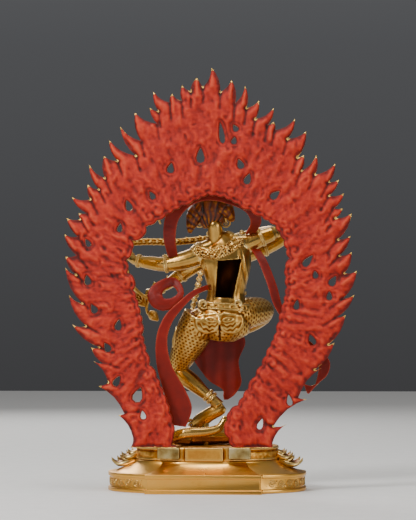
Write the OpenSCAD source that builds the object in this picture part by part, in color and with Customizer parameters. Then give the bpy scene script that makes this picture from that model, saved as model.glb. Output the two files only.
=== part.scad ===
// Dancing figure on a lotus base, with a flame aureole that lifts out of two sockets.
// Millimetres. +Z up, origin under the middle of the base, the figure faces -Y and its left hand is at +X.

/* [Base] */
// Width of the plinth, side to side
base_w = 162; // [140:1:200]
// Height of the plinth
plinth_h = 15; // [12:1:20]
// Height of the sloping drum over the plinth
drum_h = 10; // [8:1:14]
// Height of the lotus seat over the drum
seat_h = 11; // [9:1:15]
// How far the plinth stands out past the lotus seat, all round
drum_reach = 20; // [15:1:26]
// Thickness of the cast walls of the base
base_wall = 2.6; // [2:0.1:4]
// Thickness of the copper plate that closes the base
plate_t = 1; // [0.8:0.1:2]
// Number of petals in each row
petal_count = 12; // [8:1:16]

/* [Aureole] */
// Width of the flame aureole over its tips
aureole_w = 235; // [195:1:285]
// Height of the flame aureole over its feet
aureole_h = 305; // [250:1:370]
// Thickness of the aureole
aureole_t = 4.5; // [3.5:0.1:6]
// Width of each foot tenon
tenon_w = 12; // [9:0.5:15]
// Depth of each foot tenon in its socket
tenon_deep = 8; // [6:0.5:10]
// Clearance of a tenon in its socket, each side
tenon_gap = 0.25; // [0.15:0.05:0.5]
// Wall of each socket round its tenon
socket_wall = 2.5; // [1.8:0.1:4]

/* [Figure] */
// Height of the figure from the lotus seat to the hair tip
figure_h = 232; // [190:1:280]
// Radius of the rod that holds the figure down
rod_r = 2.6; // [2:0.1:3.2]
// Clearance of that rod in its holes
rod_gap = 0.15; // [0.1:0.05:0.3]
// Thickness of the ribbons
ribbon_t = 2; // [1.5:0.1:3]
// Radius of the grip that each fist closes on
grip_r = 1.7; // [1.4:0.1:2]

/* [Hidden] */
$fn = 48;

k = figure_h / 232;                       // scale of the figure's own millimetres
seat_z = plinth_h + drum_h + seat_h;      // top of the lotus seat
figure_back = 35;                         // rearmost point of the figure, in its own millimetres
aureole_gap = 2.75;                       // air between the figure and the aureole
aureole_y = figure_back * k + aureole_gap + aureole_t / 2;
socket_t = aureole_t + 2 * (tenon_gap + socket_wall);
socket_w = tenon_w + 2 * (tenon_gap + socket_wall);
socket_h = tenon_deep + 1;
foot_x = 0.121 * aureole_w;               // middle of each aureole foot
seat_a = base_w / 2 - drum_reach - 3;     // half-width of the lotus seat
seat_b = aureole_y + 2;                   // half-depth of the lotus seat
plinth_a = base_w / 2;
plinth_b = seat_b + drum_reach - 6;
bay = 0.287 * base_w;                     // half-width of the middle bays of the plinth
bay_step = 3;
rim = 3;                                  // height of the plinth's rims
rear_flat = foot_x - socket_w / 2 - 4.5;  // half-width of the plain rear of the seat

brass = "gold";
red = "firebrick";

// ---- curves -----------------------------------------------------------------------------
function unit(v) = v / norm(v);
function blend(p, q, r, s, t) = 0.5 * (2 * q + (r - p) * t + (2 * p - 5 * q + 4 * r - s) * t * t
    + (3 * q - p - 3 * r + s) * t * t * t);
// A smooth run through points or stations, n steps to a span
function flow(p, n = 4) = [for (i = [0 : len(p) - 2]) for (j = [0 : n - 1])
    blend(p[max(i - 1, 0)], p[i], p[i + 1], p[min(i + 2, len(p) - 1)], j / n), p[len(p) - 1]];
// The same round a closed loop
function flow_loop(p, n = 4) = let (m = len(p)) [for (i = [0 : m - 1]) for (j = [0 : n - 1])
    blend(p[(i + m - 1) % m], p[i], p[(i + 1) % m], p[(i + 2) % m], j / n)];
function run(p, i = 0, l = 0) = concat([l], i < len(p) - 1 ? run(p, i + 1, l + norm(p[i + 1] - p[i])) : []);
// Points a step apart along a run
function even(p, step) = let (l = run(p)) [for (t = [0 : step : l[len(l) - 1]])
    [for (axis = [0 : 2]) lookup(t, [for (i = [0 : len(p) - 1]) [l[i], p[i][axis]]])]];
function xyz(s) = [s[0], s[1], s[2]];
function heading(s, i, closed) = let (m = len(s))
    unit(xyz(s[closed ? (i + 1) % m : min(i + 1, m - 1)]) - xyz(s[closed ? (i + m - 1) % m : max(i - 1, 0)]));
// Ring of points round station [x, y, z, half-width, half-depth]; the depth leans towards ref
function ring(s, t, sides, ref) = let (d = unit(ref - t * (t * ref)), w = cross(t, d))
    [for (a = [0 : 360 / sides : 359]) xyz(s) + w * s[3] * cos(a) + d * s[4] * sin(a)];

// A closed skin over a run of rings, with flat ends or joined round into a loop
module skin(rings, closed = false) {
    sides = len(rings[0]);
    m = len(rings);
    spans = closed ? m : m - 1;
    wall = [for (i = [0 : spans - 1]) for (j = [0 : sides - 1]) let (
        a = i * sides + j, b = i * sides + (j + 1) % sides,
        c = ((i + 1) % m) * sides + (j + 1) % sides, d = ((i + 1) % m) * sides + j)
        each [[a, b, c], [a, c, d]]];
    ends = closed ? [] : [for (j = [1 : sides - 2]) each [[0, j + 1, j],
        [(m - 1) * sides, (m - 1) * sides + j, (m - 1) * sides + j + 1]]];
    polyhedron([for (r = rings) each r], concat(wall, ends), convexity = 6);
}

// A limb through stations [x, y, z, half-width, half-depth]
module limb(stations, n = 3, sides = 14, ref = [0, 1, 0]) {
    s = flow(stations, n);
    skin([for (i = [0 : len(s) - 1]) ring(s[i], heading(s, i, false), sides, ref)]);
}

module loop(stations, n = 3, sides = 8, ref = [0, 0, 1]) {
    s = flow_loop(stations, n);
    skin([for (i = [0 : len(s) - 1]) ring(s[i], heading(s, i, true), sides, ref)], closed = true);
}

// A ribbon through stations [x, y, z, width, turn in the XZ plane from +X, lean towards +Y]
module ribbon(stations, n = 5, t = ribbon_t) {
    s = flow(stations, n);
    skin([for (i = [0 : len(s) - 1]) let (
        w = [cos(s[i][4]) * cos(s[i][5]), sin(s[i][5]), sin(s[i][4]) * cos(s[i][5])] * s[i][3] / 2,
        h = unit(cross(heading(s, i, false), w)) * t / k / 2, c = xyz(s[i]))
        [c + w + h, c + w - h, c - w - h, c - w + h]]);
}

// A rounded lump, in five rings
module ball(p, r, sides = 10)
    limb([for (a = [-72 : 36 : 72]) [p[0], p[1], p[2] + r * sin(a), r * cos(a), r * cos(a)]], 1, sides);

// The figure's own millimetres start at the middle of the lotus seat's top
module figure_frame() translate([0, 0, seat_z]) scale(k) children();

// A round band of metal round a limb at p, square to d
module band(p, d, r, t) translate(p) rotate([0, acos(unit(d)[2]), atan2(d[1], d[0])])
    rotate_extrude() translate([r, 0]) circle(t, $fn = 24);

module rod_between(a, b, r) translate(a) rotate([0, acos(unit(b - a)[2]), atan2((b - a)[1], (b - a)[0])])
    cylinder(norm(b - a), r, r);

// ---- base -------------------------------------------------------------------------------
// Oval outline, a little squarer than an ellipse
function oval(a, b, n = 72) = [for (i = [0 : n - 1]) let (c = cos(i * 360 / n), s = sin(i * 360 / n))
    [a * sign(c) * pow(abs(c), 0.85), b * sign(s) * pow(abs(s), 0.85)]];

module plan(a, b, h) linear_extrude(h) polygon(oval(a, b));

// The plinth's outline, with a plain bay standing out at the middle of the front and the rear
module plinth_plan(inset, h) linear_extrude(h) {
    polygon(oval(plinth_a - inset, plinth_b - inset - bay_step));
    square([2 * (bay - inset), 2 * (plinth_b - inset)], center = true);
}

module frustum(a0, b0, a1, b1, z0, z1) skin([for (v = [[a0, b0, z0], [a1, b1, z1]])
    [for (q = oval(v[0], v[1], 48)) [q[0], -q[1], v[2]]]]);

drum_a0 = plinth_a - 3;                   // the drum's foot
drum_b0 = plinth_b - bay_step - 2;
drum_a1 = seat_a + 2;                     // the drum's top
drum_b1 = seat_b + 1;

module plinth() color(brass) difference() {
    union() {
        plinth_plan(0, rim);
        plinth_plan(1.5, plinth_h);
        translate([0, 0, plinth_h - rim]) plinth_plan(0, rim);
    }
    translate([0, 0, -1]) plan(plinth_a - 1.5 - base_wall, plinth_b - bay_step - 1.5 - base_wall,
        plinth_h - base_wall + 1);
    translate([0, 0, plinth_h - base_wall - 1]) plan(drum_a0 - 2 * base_wall, drum_b0 - 2 * base_wall,
        base_wall + 2);
}

module base_plate() color("peru")
    plan(plinth_a - 1.6 - base_wall, plinth_b - bay_step - 1.6 - base_wall, plate_t);

// The plain bays slope up from the plinth's edge to the seat
module drum_form() {
    frustum(drum_a0, drum_b0, drum_a1, drum_b1, plinth_h, plinth_h + drum_h);
    skin([for (v = [[bay - 0.6, plinth_b - 0.6, plinth_h], [rear_flat + 6, seat_b + 2, plinth_h + drum_h]])
        [for (c = [[-1, -1], [-1, 1], [1, 1], [1, -1]]) [c[0] * v[0], c[1] * v[1], v[2]]]]);
}
module lotus_drum() color(brass) difference() {
    drum_form();
    frustum(drum_a0 - 2 * base_wall, drum_b0 - 2 * base_wall, drum_a1 - 2 * base_wall,
        drum_b1 - 2 * base_wall, plinth_h - 1, plinth_h + drum_h + 1);
}

module socket_notch(side) translate([side * foot_x - socket_w / 2, aureole_y - socket_t / 2,
    seat_z - socket_h]) cube([socket_w, socket_t + 20, socket_h + 20]);

module lotus_seat() color(brass) difference() {
    union() {
        translate([0, 0, seat_z - seat_h]) plan(seat_a, seat_b, seat_h);
        translate([-rear_flat, 0, seat_z - seat_h]) cube([2 * rear_flat, seat_b + 2, seat_h]);
    }
    translate([0, 0, seat_z - seat_h - 1]) plan(seat_a - base_wall, aureole_y - socket_t / 2 - 2 * base_wall,
        seat_h - base_wall + 1);
    for (side = [-1, 1]) socket_notch(side);
    translate([rod_at[0] * k, rod_at[1] * k, seat_z - seat_h]) cylinder(seat_h + 1, rod_r + rod_gap,
        rod_r + rod_gap);
}

module socket(side) color("goldenrod") difference() {
    translate([side * foot_x - socket_w / 2, aureole_y - socket_t / 2, seat_z - socket_h])
        cube([socket_w, socket_t, socket_h]);
    translate([side * foot_x - tenon_w / 2 - tenon_gap, aureole_y - aureole_t / 2 - tenon_gap,
        seat_z - tenon_deep - 0.5]) cube([tenon_w + 2 * tenon_gap, aureole_t + 2 * tenon_gap, tenon_deep + 1]);
}
module socket_left() socket(1);
module socket_right() socket(-1);

// Petals lie on the slope, round the sides and the front; the rear of the base is plain
module petal_row(a, b, z, reach, fall, rise, w) for (i = [0 : petal_count - 1])
    let (u = 12 - (i + 0.5) * 204 / petal_count, out = norm([reach[0] * cos(u), reach[1] * sin(u)]))
        translate([a * cos(u), b * sin(u), z]) rotate(atan2(sin(u) / b, cos(u) / a))
            limb([[-2, 0, fall + rise * 0.5, w * 0.6, rise * 0.45], [out * 0.5, 0, fall * 0.5 + rise * 0.55, w,
                rise * 0.5], [out, 0, rise * 0.75, w * 0.15, rise * 0.16]], 2, 8, [0, 0, 1]);
module on_drum() difference() {
    union() children();
    drum_form();
    translate([0, 0, seat_z - seat_h]) plan(seat_a, seat_b, seat_h);
}
module petals_lower() color(brass) on_drum()
    petal_row(seat_a + 4, seat_b + 2, plinth_h + 1, [drum_reach - 4, drum_reach - 10], 6, 6, 7);
module petals_upper() color(brass) on_drum()
    petal_row(seat_a + 1, seat_b, plinth_h + drum_h * 0.85, [drum_reach - 9, drum_reach - 13], 3.5, 5.5, 6.2);

// ---- figure -----------------------------------------------------------------------------
rod_at = [1, 2];
fist_bow = [69, -7, 159.5];
nock = [-14, -17, 170];
fist_lotus = [48, -9, 124];
fist_goad = [-74, -7, 187];
head_at = [-5, 6, 190];
neck_at = [-7.5, 12, 170];

module prone_figure() color(brass) figure_frame() difference() {
    union() {
        limb([[24, 6, 5, 5, 3], [14, 4, 7.7, 11, 7.7], [-2, -4, 7.2, 9, 7.2], [-18, -12, 6.5, 11, 6], [-28, -16, 6, 5, 4.5]],
            3, 12, [0, 0, 1]);
        limb([[16, 10, 5, 6, 5], [27, 22, 7, 5, 5], [16, 28, 11, 4, 4.5], [0, 28, 12, 3.6, 4],
            [-11, 27, 15, 3.4, 3.4], [-15.5, 26, 22, 3, 2.6]], 3, 10, [0, 0, 1]);
        limb([[-20, -8, 6, 4, 4], [-26, 4, 5, 3.4, 3.4], [-38, 10, 4, 3, 3], [-50, 12, 5, 3.4, 3.4]], 3, 8, [0, 0, 1]);
        limb([[10, -4, 5, 6, 5], [26, -14, 6, 5, 5], [40, -16, 5, 3.6, 4], [48, -16, 6, 4, 3]], 3, 8, [0, 0, 1]);
        ball([-33, -18, 7], 7.5);
    }
    translate([-90, -90, -40]) cube([180, 180, 40]);
    translate([rod_at[0], rod_at[1], -1]) cylinder(60, rod_r / k, rod_r / k);
}

module figure_rod() color("goldenrod") translate([rod_at[0] * k, rod_at[1] * k, seat_z - seat_h + 1])
    cylinder(seat_h - 1 + 22 * k, rod_r, rod_r);

module torso_form() {
    limb([[-15, 12, 110, 19, 12], [-16, 12, 124, 15.2, 10.5], [-16.5, 12, 137, 18, 12.5],
        [-16, 12, 149, 21, 13.5], [-14, 12, 159, 21, 12], [-12, 12, 166, 14, 9], [-8, 12, 171, 7, 7],
        [-7, 11, 178, 6, 6]], 3, 18);
    ball([-28, 11, 161], 8.5);
    ball([4, 11, 155], 8.5);
}

module torso() color(brass) figure_frame() difference() {
    torso_form();
    // relic chamber, open at the back
    translate([0, 40, 0]) rotate([90, 0, 0]) linear_extrude(32)
        polygon([[-10.4, 149.6], [-28.8, 151.2], [-21.6, 120], [-8, 120.8]]);
    head_form();
}

// A piece that meets the torso is cut to the torso's own surface
module on_torso() difference() {
    union() children();
    torso_form();
}

module tiger_trousers() color("darkgoldenrod") figure_frame() difference() {
    union() {
        limb([[-15, 12, 111, 20, 13], [-14, 12, 104, 23, 16], [-12, 11, 94, 22, 15], [-11, 10, 86, 12, 9]], 3, 18);
        limb([[4, 12, 105, 15, 14], [11, 9, 91, 15, 13.5], [18, 4, 77, 12, 12], [24, 0, 65, 8.5, 9.5],
            [25.5, -1, 60, 5, 6]], 3, 16);
        limb([[-22, 12, 104, 13, 14], [-33, 4, 108, 14, 13], [-44, -8, 110, 11, 11], [-49, -15, 110, 7, 7]],
            3, 16, [0, 0, 1]);
    }
    torso_form();
    left_knee();
    right_knee();
}

module left_knee() limb([[25, -1, 64, 5, 5.5], [21, 0, 58, 7.5, 8], [13, 2, 52, 7.2, 7.5], [3, 4, 43.5, 5.2, 5.2],
    [-4, 4, 38, 4.4, 4.6], [-10, 5, 32, 5, 5]], 3, 14);
module right_knee() limb([[-50, -15, 111, 5, 5.5], [-45, -19, 106, 7.5, 7.5], [-34, -23, 99, 7, 7],
    [-22, -24, 93, 4.8, 4.8], [-14, -23, 90, 4.6, 5], [-11, -22, 88, 4, 5]], 3, 14, [0, 0, 1]);

module left_shin() color(brass) figure_frame() {
    left_knee();
    limb([[-14, 5, 32, 3, 3.4], [-11, 5, 30, 4.6, 5.6], [-2, 3, 25, 4.4, 5.8], [6, 0, 19.5, 3.6, 6.2], [11, -2, 16, 2, 4.6]],
        3, 12, [0, 0, 1]);
}

module right_shin() color(brass) figure_frame() {
    right_knee();
    limb([[-15, -23, 93, 3, 3.4], [-11, -23, 88, 5, 5.4], [-8, -24, 79, 5.5, 4], [-6, -25, 70, 6, 2.4]], 3, 12);
}

module head_form()
    limb([[-6.5, 3, 176, 4, 4.5], [-6, 4, 180, 7.4, 8.4], [-5.5, 5.5, 187, 9.4, 10.6], [-5, 6, 194, 9.8, 11.4],
        [-5, 7, 201, 7.6, 9], [-5, 7.5, 205, 3, 4]], 3, 18);
module head() color(brass) figure_frame() head_form();

module hair_form() {
    limb([[-5, 16, 178, 7, 4], [-4, 16, 188, 12, 8], [-4, 14, 200, 13, 11], [-4, 10, 212, 10, 9],
        [-4, 8, 222, 6, 6], [-3, 7, 232, 1, 1]], 3, 16);
    limb([[3, 18, 197, 5, 5], [9, 20, 188, 6.5, 6], [12, 20, 179, 4, 4], [13, 19, 173, 1.4, 1.4]], 3, 10);
    limb([[-9, 18, 198, 5, 5], [-16, 20, 193, 6.5, 6], [-20, 20, 187, 4, 4], [-22, 19, 183, 1.4, 1.4]], 3, 10);
}

module hair() color("darkorange") figure_frame() difference() {
    hair_form();
    head_form();
    torso_form();
}

// Five leaves over a plain fillet, on the brow
module crown() color(brass) figure_frame() translate([head_at[0], head_at[1] + 1, 195]) {
    rotate([8, 0, 0]) rotate_extrude() translate([10.4, 0]) square([2, 3]);
    for (a = [-68, -34, 0, 34, 68]) rotate(a) translate([0, -10.8, 1.5]) rotate([90, 0, 0]) linear_extrude(1.4)
        polygon([for (t = [-1 : 0.25 : 1]) [3.6 * t * (1.4 - abs(t) * 0.4), 10 * (1 - pow(abs(t), 1.4))]]);
}

module earrings() color(brass) figure_frame() for (side = [-1, 1])
    band([head_at[0] + side * 10.8, 6, 182], [0, 1, 0], 3.2, 0.9);

module neck_rings() color(brass) figure_frame() for (i = [0, 1])
    band([neck_at[0], neck_at[1], 170.5 + 3 * i], [0.1, -0.15, 1], 7.2 - 0.6 * i, 1.2);

module flower_collar() color(brass) figure_frame() on_torso()
    loop([[-6, 24, 156, 1.8, 4.2], [-26, 20, 163, 3, 4], [-25, 11, 170, 4, 2.4], [-20, 2, 164, 3, 3],
        [-8, -1, 152, 2, 4], [0, 3, 158, 3, 3], [5, 12, 164, 4, 2.4], [4, 19, 160, 3, 3.6]], 4, 8);

// Round bosses on a cord, from the left flank down over the thighs and up to the right flank
garland_path = [[4, 19, 140], [7, 10, 128], [12, -6, 110], [9, -14, 94], [-4, -18, 84], [-18, -14, 87],
    [-29, -13, 98], [-30, -8, 116], [-29, -2, 132], [-28, 1, 146]];
module long_garland() color(brass) figure_frame() let (p = even(flow(garland_path, 6), 2.8))
    limb([for (i = [0 : len(p) - 1]) let (r = i % 2 == 0 ? 3.1 : 1.5) [p[i][0], p[i][1], p[i][2], r, r]], 1, 8);

module belt() color(brass) figure_frame() {
    loop([for (a = [0 : 45 : 315]) [-15 + 21 * cos(a), 12 + 14 * sin(a), 113 + 1.5 * cos(a), 1.8, 3.4]], 4, 8);
    for (x = [-25.5, 1.5]) band([x, 24, 114], [0, 1, 0], 2.6, 1);
}

module left_bow_arm() color(brass) figure_frame() on_torso() {
    limb([[4, 11, 156, 8, 8], [17, 12, 151, 7.8, 7.8], [34, 11, 148, 6.2, 6.2], [48, 7, 149.5, 5.4, 5.4],
        [60, 3, 152, 4, 4], [67, -5, 158, 3.6, 3.6]], 3, 12, [0, 0, 1]);
    ball(fist_bow, 5.4);
}

module right_arrow_arm() color(brass) figure_frame() on_torso() {
    limb([[-28, 11, 162, 8, 8], [-42, 11, 168, 7, 7], [-54, 8, 173, 6, 6]], 3, 12, [0, 0, 1]);
    limb([[-57, 9, 174, 4.5, 4.5], [-52, 2, 174, 6, 6], [-38, -10, 173, 5, 5], [-24, -15, 171, 3.8, 3.8],
        [-18, -16, 170.5, 3.4, 3.4]], 3, 12, [0, 0, 1]);
    ball(nock, 5);
}

module left_lotus_arm() color(brass) figure_frame() on_torso() {
    limb([[3, 4, 151, 6, 6], [18, 0, 142, 6, 6], [30, -4, 134, 5, 5], [42, -8, 127, 3.6, 3.6],
        [46, -9, 125, 3.2, 3.2]], 3, 12, [0, 0, 1]);
    ball(fist_lotus, 4.8);
}

module right_goad_arm() color(brass) figure_frame() on_torso() {
    limb([[-30, 3, 155, 7, 7], [-44, -4, 160, 6, 6], [-60, -6, 168, 5.4, 5.4], [-68, -7, 176, 4.4, 4.4],
        [-72, -7, 183, 3.6, 3.6]], 3, 12, [0, 0, 1]);
    ball(fist_goad, 4.8);
}

module armlets() color(brass) figure_frame() {
    band([33, 11, 148], [17, -1, -2], 6.4, 1.4);
    band([-45, 10.5, 169.3], [14, 1, -6], 6.7, 1.4);
    band([21, -1, 140], [12, -4, -8], 5.8, 1.3);
    band([-47, -4.5, 161.3], [14, 3, -6], 5.9, 1.3);
}

module bracelets() color(brass) figure_frame() {
    band([56, 4.5, 151], [12, -4, 2.5], 4.8, 1.3);
    band([-29, -13.5, 172], [14, -6, -2], 4.4, 1.2);
    band([38.5, -7, 129], [12, -4, -7], 4.2, 1.2);
    band([-70, -7, 180], [-4, 0, 7], 4.2, 1.2);
}

module anklets() color(brass) figure_frame() {
    for (s = [0, 1]) band([-1 - 2.8 * s, 4, 40.8 - 2.4 * s], [-7, 0, -6], 4.9, 1.3);
    for (s = [0, 1]) band([-24 + 2.8 * s, -24, 94 - 1.1 * s], [8, 1, -3], 5, 1.3);
}

module flower_bow() color(brass) figure_frame()
    limb([[33, -6, 139, 0.9, 0.9], [38, -6, 129, 1.3, 1.3], [49, -7, 121, 1.6, 1.6], [61, -7, 129, 1.8, 1.8],
        [67, -7, 143, 1.9, 1.9], [69, -7, 159.5, 1.7, 1.7], [70, -7, 176, 1.9, 1.9], [65, -7, 190, 1.8, 1.8],
        [54, -7, 198, 1.6, 1.6], [44, -6, 192, 1.3, 1.3], [39, -6, 182, 0.9, 0.9]], 4, 8);

arrow_tip = [97, -6, 165];
module flower_arrow() color(brass) figure_frame() {
    rod_between(nock, arrow_tip, 1.3);
    limb([for (i = [0.12, 0.25, 0.4, 0.55, 0.7, 0.85, 0.96]) let (p = nock + (arrow_tip - nock) * i)
        [p[0], p[1], p[2] + 0.8 * sin(720 * i), i > 0.9 ? 0.5 : 1.4, i > 0.9 ? 0.8 : 2.9]], 3, 8, [0, 0, 1]);
}

module lotus_spray() color(brass) figure_frame() {
    limb([[44, -9, 134, 1, 1], [48, -9, 124, 1.4, 1.4], [51, -8, 112, 1.3, 1.3], [47, -7, 104, 1.3, 1.3]], 3, 8);
    limb([[51, -8, 114, 1, 1], [56, -7, 119, 5, 1.4], [62, -6, 125, 0.7, 0.7]], 3, 8);
    limb([[49, -7, 109, 2, 2], [45, -7, 106, 4.4, 4], [41, -7, 102, 0.9, 0.9]], 3, 10);
}

function goad_at(dx, dz, r) = [fist_goad[0] + dx, fist_goad[1], fist_goad[2] + dz, r, r];
module goad() color(brass) figure_frame() {
    rod_between(fist_goad - [0, 0, 21], fist_goad + [0, 0, 27], grip_r / k);
    limb([goad_at(0, 25, 2), goad_at(-4, 31, 2), goad_at(-10, 29, 1.5),
        goad_at(-10, 23, 0.6)], 3, 8);
    ball(fist_goad + [0, 0, 27], 3);
}

// Stiff cast scarves
module scarf_arch() color(red) figure_frame()
    ribbon([[-36, 13, 173, 8, 180, 0], [-41, 23, 182, 9, 165, 0], [-36, 30, 193, 10, 130, 0],
        [-20, 32, 201, 11, 105, 0], [-2, 32, 204, 11, 90, 0], [14, 32, 199, 11, 65, 0], [26, 31, 186, 11, 30, 0],
        [29, 27, 169, 10, 5, 0], [27, 15, 154, 8, 0, 0]]);

module scarf_right() color(red) figure_frame()
    ribbon([[-40, 14, 160, 8, 10, 0], [-47, 23, 148, 8, 10, 0], [-54, 28, 130, 8, 12, 0],
        [-59, 30, 113, 8, 20, 0], [-67, 31, 98, 8, 45, 0], [-79, 31, 86, 8, 55, 0], [-90, 31, 80, 9, 40, 0],
        [-96, 31, 68, 9, 5, 0], [-93, 31, 54, 9, -30, 0], [-84, 31, 46, 7, -70, 0], [-78, 31, 52, 3, -130, 0]]);

module scarf_left() color(red) figure_frame()
    ribbon([[-2, 15, 129, 4, 50, 0], [9, 24, 124, 4.5, 50, 0], [20, 29, 114, 6, 46, 0], [30, 30, 102, 8, 35, 0],
        [35, 31, 86, 9, 5, 0], [33, 31, 66, 12, 0, 0], [25, 31, 46, 17, -8, 0], [20, 30, 30, 19, -8, 0],
        [23, 29, 17, 15, 8, 0]]);

module scarf_loop() color(red) figure_frame()
    loop([[20, 24, 124, 2.8, 1.3], [26, 27, 116, 4.5, 1.3], [36, 28, 115, 5.5, 1.3], [41, 27, 122, 6.5, 1.3],
        [36, 23, 130, 4.6, 1.3], [26, 18, 133, 4, 1.3]], 4, 8, [0, 1, 0]);

module loincloth() color(red) figure_frame()
    ribbon([[-10, 0, 92, 38, 0, 0], [-9.8, 0, 83, 43, 0, 0], [-7.5, -1, 70, 37, 0, 0], [-11.5, -2.5, 59, 31, 0, 0],
        [-15, -3, 52, 26, 0, 0], [-19, -4, 45.5, 13.5, 0, 0], [-17, -4.5, 40, 8, 0, 0], [-15, -5, 37, 3, 0, 0]]);

// ---- flame aureole ----------------------------------------------------------------------
// Outline over the feet, by turns the notch between two flames and the tip of a flame,
// from the crest down the right-hand side
flames_right = [[1, 289], [-6, 305], [-13, 285], [-22, 295], [-25, 276], [-33, 290], [-34, 272], [-44, 278],
    [-41, 263], [-56, 272], [-51, 258], [-56, 261], [-57, 254], [-73, 263], [-67, 247], [-82, 253], [-75, 232],
    [-80, 234], [-78, 221], [-90, 234], [-89, 218], [-105, 227], [-100, 212], [-108, 214], [-100, 201],
    [-112, 203], [-104, 191], [-111, 191], [-105, 183], [-118, 187], [-107, 166], [-117, 169], [-108, 153],
    [-118, 156], [-112, 139], [-122, 141], [-111, 119], [-120, 122], [-106, 104], [-113, 106], [-99, 82],
    [-104, 84], [-88, 62], [-94, 64], [-75, 40], [-82, 39], [-55, 17], [-66, 19], [-55, 6], [-55, 0]];
flames_left = [[59, 0], [57, 8], [69, 26], [64, 27], [85, 49], [77, 52], [89, 69], [81, 67], [91, 80],
    [84, 80], [106, 98], [95, 97], [109, 122], [98, 115], [112, 144], [103, 138], [112, 153], [103, 154],
    [113, 171], [102, 169], [111, 184], [100, 183], [101, 188], [95, 188], [107, 201], [92, 199], [94, 211],
    [85, 207], [93, 227], [80, 216], [81, 234], [70, 230], [77, 247], [55, 234], [68, 258], [51, 246],
    [56, 269], [38, 260], [44, 273], [37, 270], [41, 286], [28, 277], [26, 284], [18, 278], [18, 291],
    [11, 286], [6, 297]];
// Scalloped edge of the opening, from the left foot up and over to the right foot
opening = [[26, 0], [24, 12], [30, 36], [38, 56], [44, 66], [47, 77], [50, 90], [50, 100], [53, 113],
    [57, 126], [56, 134], [62, 140], [63, 150], [58, 158], [58, 166], [49, 169], [47, 177], [45, 178], [38, 182],
    [30, 187], [18, 194], [8, 198], [-3, 203], [-16, 201], [-27, 195], [-37, 190], [-46, 185], [-57, 178],
    [-64, 166], [-68, 151], [-65, 144], [-66, 128], [-64, 116], [-60, 101], [-58, 92], [-53, 81],
    [-46, 66], [-41, 57], [-35, 47], [-27, 34], [-20, 29], [-16, 15], [-23, 0]];
// Pierced drops: middle, length, width, turn
drops = [[-14, 252, 17, 4, 82], [-25, 256, 6, 4, 60], [-24, 246, 6, 4, 100], [-29, 227, 8, 5, 70],
    [-35, 215, 9, 5, 110], [-57, 202, 9, 5, 140], [27, 224, 8, 5, 100], [42, 202, 7, 4, 60],
    [61, 194, 9, 5, 70], [68, 176, 7, 4, 100], [94, 164, 7, 4, 60], [94, 134, 8, 5, 80], [89, 111, 8, 5, 60],
    [69, 98, 9, 5, 100], [78, 80, 8, 5, 60], [70, 53, 9, 5, 120], [53, 42, 12, 7, 110], [49, 26, 7, 4, 80],
    [-83, 149, 11, 5, 130], [-89, 138, 6, 4, 80], [-103, 133, 9, 5, 120], [-100, 121, 7, 4, 90],
    [-86, 86, 9, 5, 70], [-74, 114, 8, 4, 100], [-68, 38, 9, 4, 80], [-45, 19, 9, 4, 110], [3, 234, 12, 6, 90]];

aureole_middle = [0, 125];
lobe = 8;
// From p to q with a sag down the side of the aureole, so that every flame bends upwards
function sag(p, q) = let (r = (p + q) / 2 - aureole_middle, down = r[0] < 0 ? [-r[1], r[0]] : [r[1], -r[0]],
    d = q - p, n = [-d[1], d[0]] / norm(d), way = n * down < 0 ? -1 : 1)
    [for (t = [0 : 0.25 : 0.75]) p + d * t + n * way * 0.1 * norm(d) * sin(180 * t)];
// Round lobes along the edge of the opening, about lobe long, standing out into it
function lobes(p, q) = let (d = q - p, m = max(1, round(norm(d) / lobe)), n = [-d[1], d[0]] / norm(d))
    [for (i = [0 : m - 1]) for (t = [0 : 0.25 : 0.75]) p + d * (i + t) / m - n * 0.16 * norm(d) / m * sin(180 * t)];
function lick(edge) = [for (i = [0 : len(edge) - 2]) each sag(edge[i], edge[i + 1]), edge[len(edge) - 1]];
function drop(d) = [for (a = [0 : 36 : 359]) let (u = d[2] / 2 * cos(a), v = d[3] / 2 * sin(a) * (1 - 0.6 * cos(a)))
    [d[0] + u * cos(d[4]) - v * sin(d[4]), d[1] + u * sin(d[4]) + v * cos(d[4])]];

aureole_edge = concat(lick(flames_left), lick(flames_right),
    [for (i = [len(opening) - 1 : -1 : 2]) each lobes(opening[i], opening[i - 1])], [opening[1], opening[0]]);
aureole_rings = concat([aureole_edge], [for (d = drops) drop(d)]);
function starts(loops, i = 0, n = 0) = i == len(loops) ? [] : concat([n], starts(loops, i + 1, n + len(loops[i])));

module flame_aureole() color("orangered") translate([0, aureole_y + aureole_t / 2, seat_z]) rotate([90, 0, 0]) {
    sx = aureole_w / 235;
    sz = aureole_h / 305;
    first = starts(aureole_rings);
    linear_extrude(aureole_t) polygon([for (l = aureole_rings) each [for (q = l) [q[0] * sx, q[1] * sz]]],
        [for (i = [0 : len(first) - 1]) [for (j = [0 : len(aureole_rings[i]) - 1]) first[i] + j]]);
    for (side = [-1, 1]) translate([side * foot_x - tenon_w / 2, -tenon_deep, 0])
        cube([tenon_w, tenon_deep + 2, aureole_t]);
}

plinth();
base_plate();
lotus_drum();
lotus_seat();
petals_lower();
petals_upper();
socket_left();
socket_right();
prone_figure();
figure_rod();
torso();
tiger_trousers();
left_shin();
right_shin();
head();
hair();
crown();
earrings();
neck_rings();
flower_collar();
long_garland();
belt();
left_bow_arm();
right_arrow_arm();
left_lotus_arm();
right_goad_arm();
armlets();
bracelets();
anklets();
flower_bow();
flower_arrow();
lotus_spray();
goad();
scarf_arch();
scarf_right();
scarf_left();
scarf_loop();
loincloth();
flame_aureole();
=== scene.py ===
"""Gilt dancing figure on a lotus base, with a red flame aureole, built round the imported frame."""
import math

import bmesh
import bpy
import numpy as np
from bpy.props import FloatProperty, IntProperty, PointerProperty, StringProperty
from mathutils import Matrix, Vector, noise
from mathutils.bvhtree import BVHTree


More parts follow.
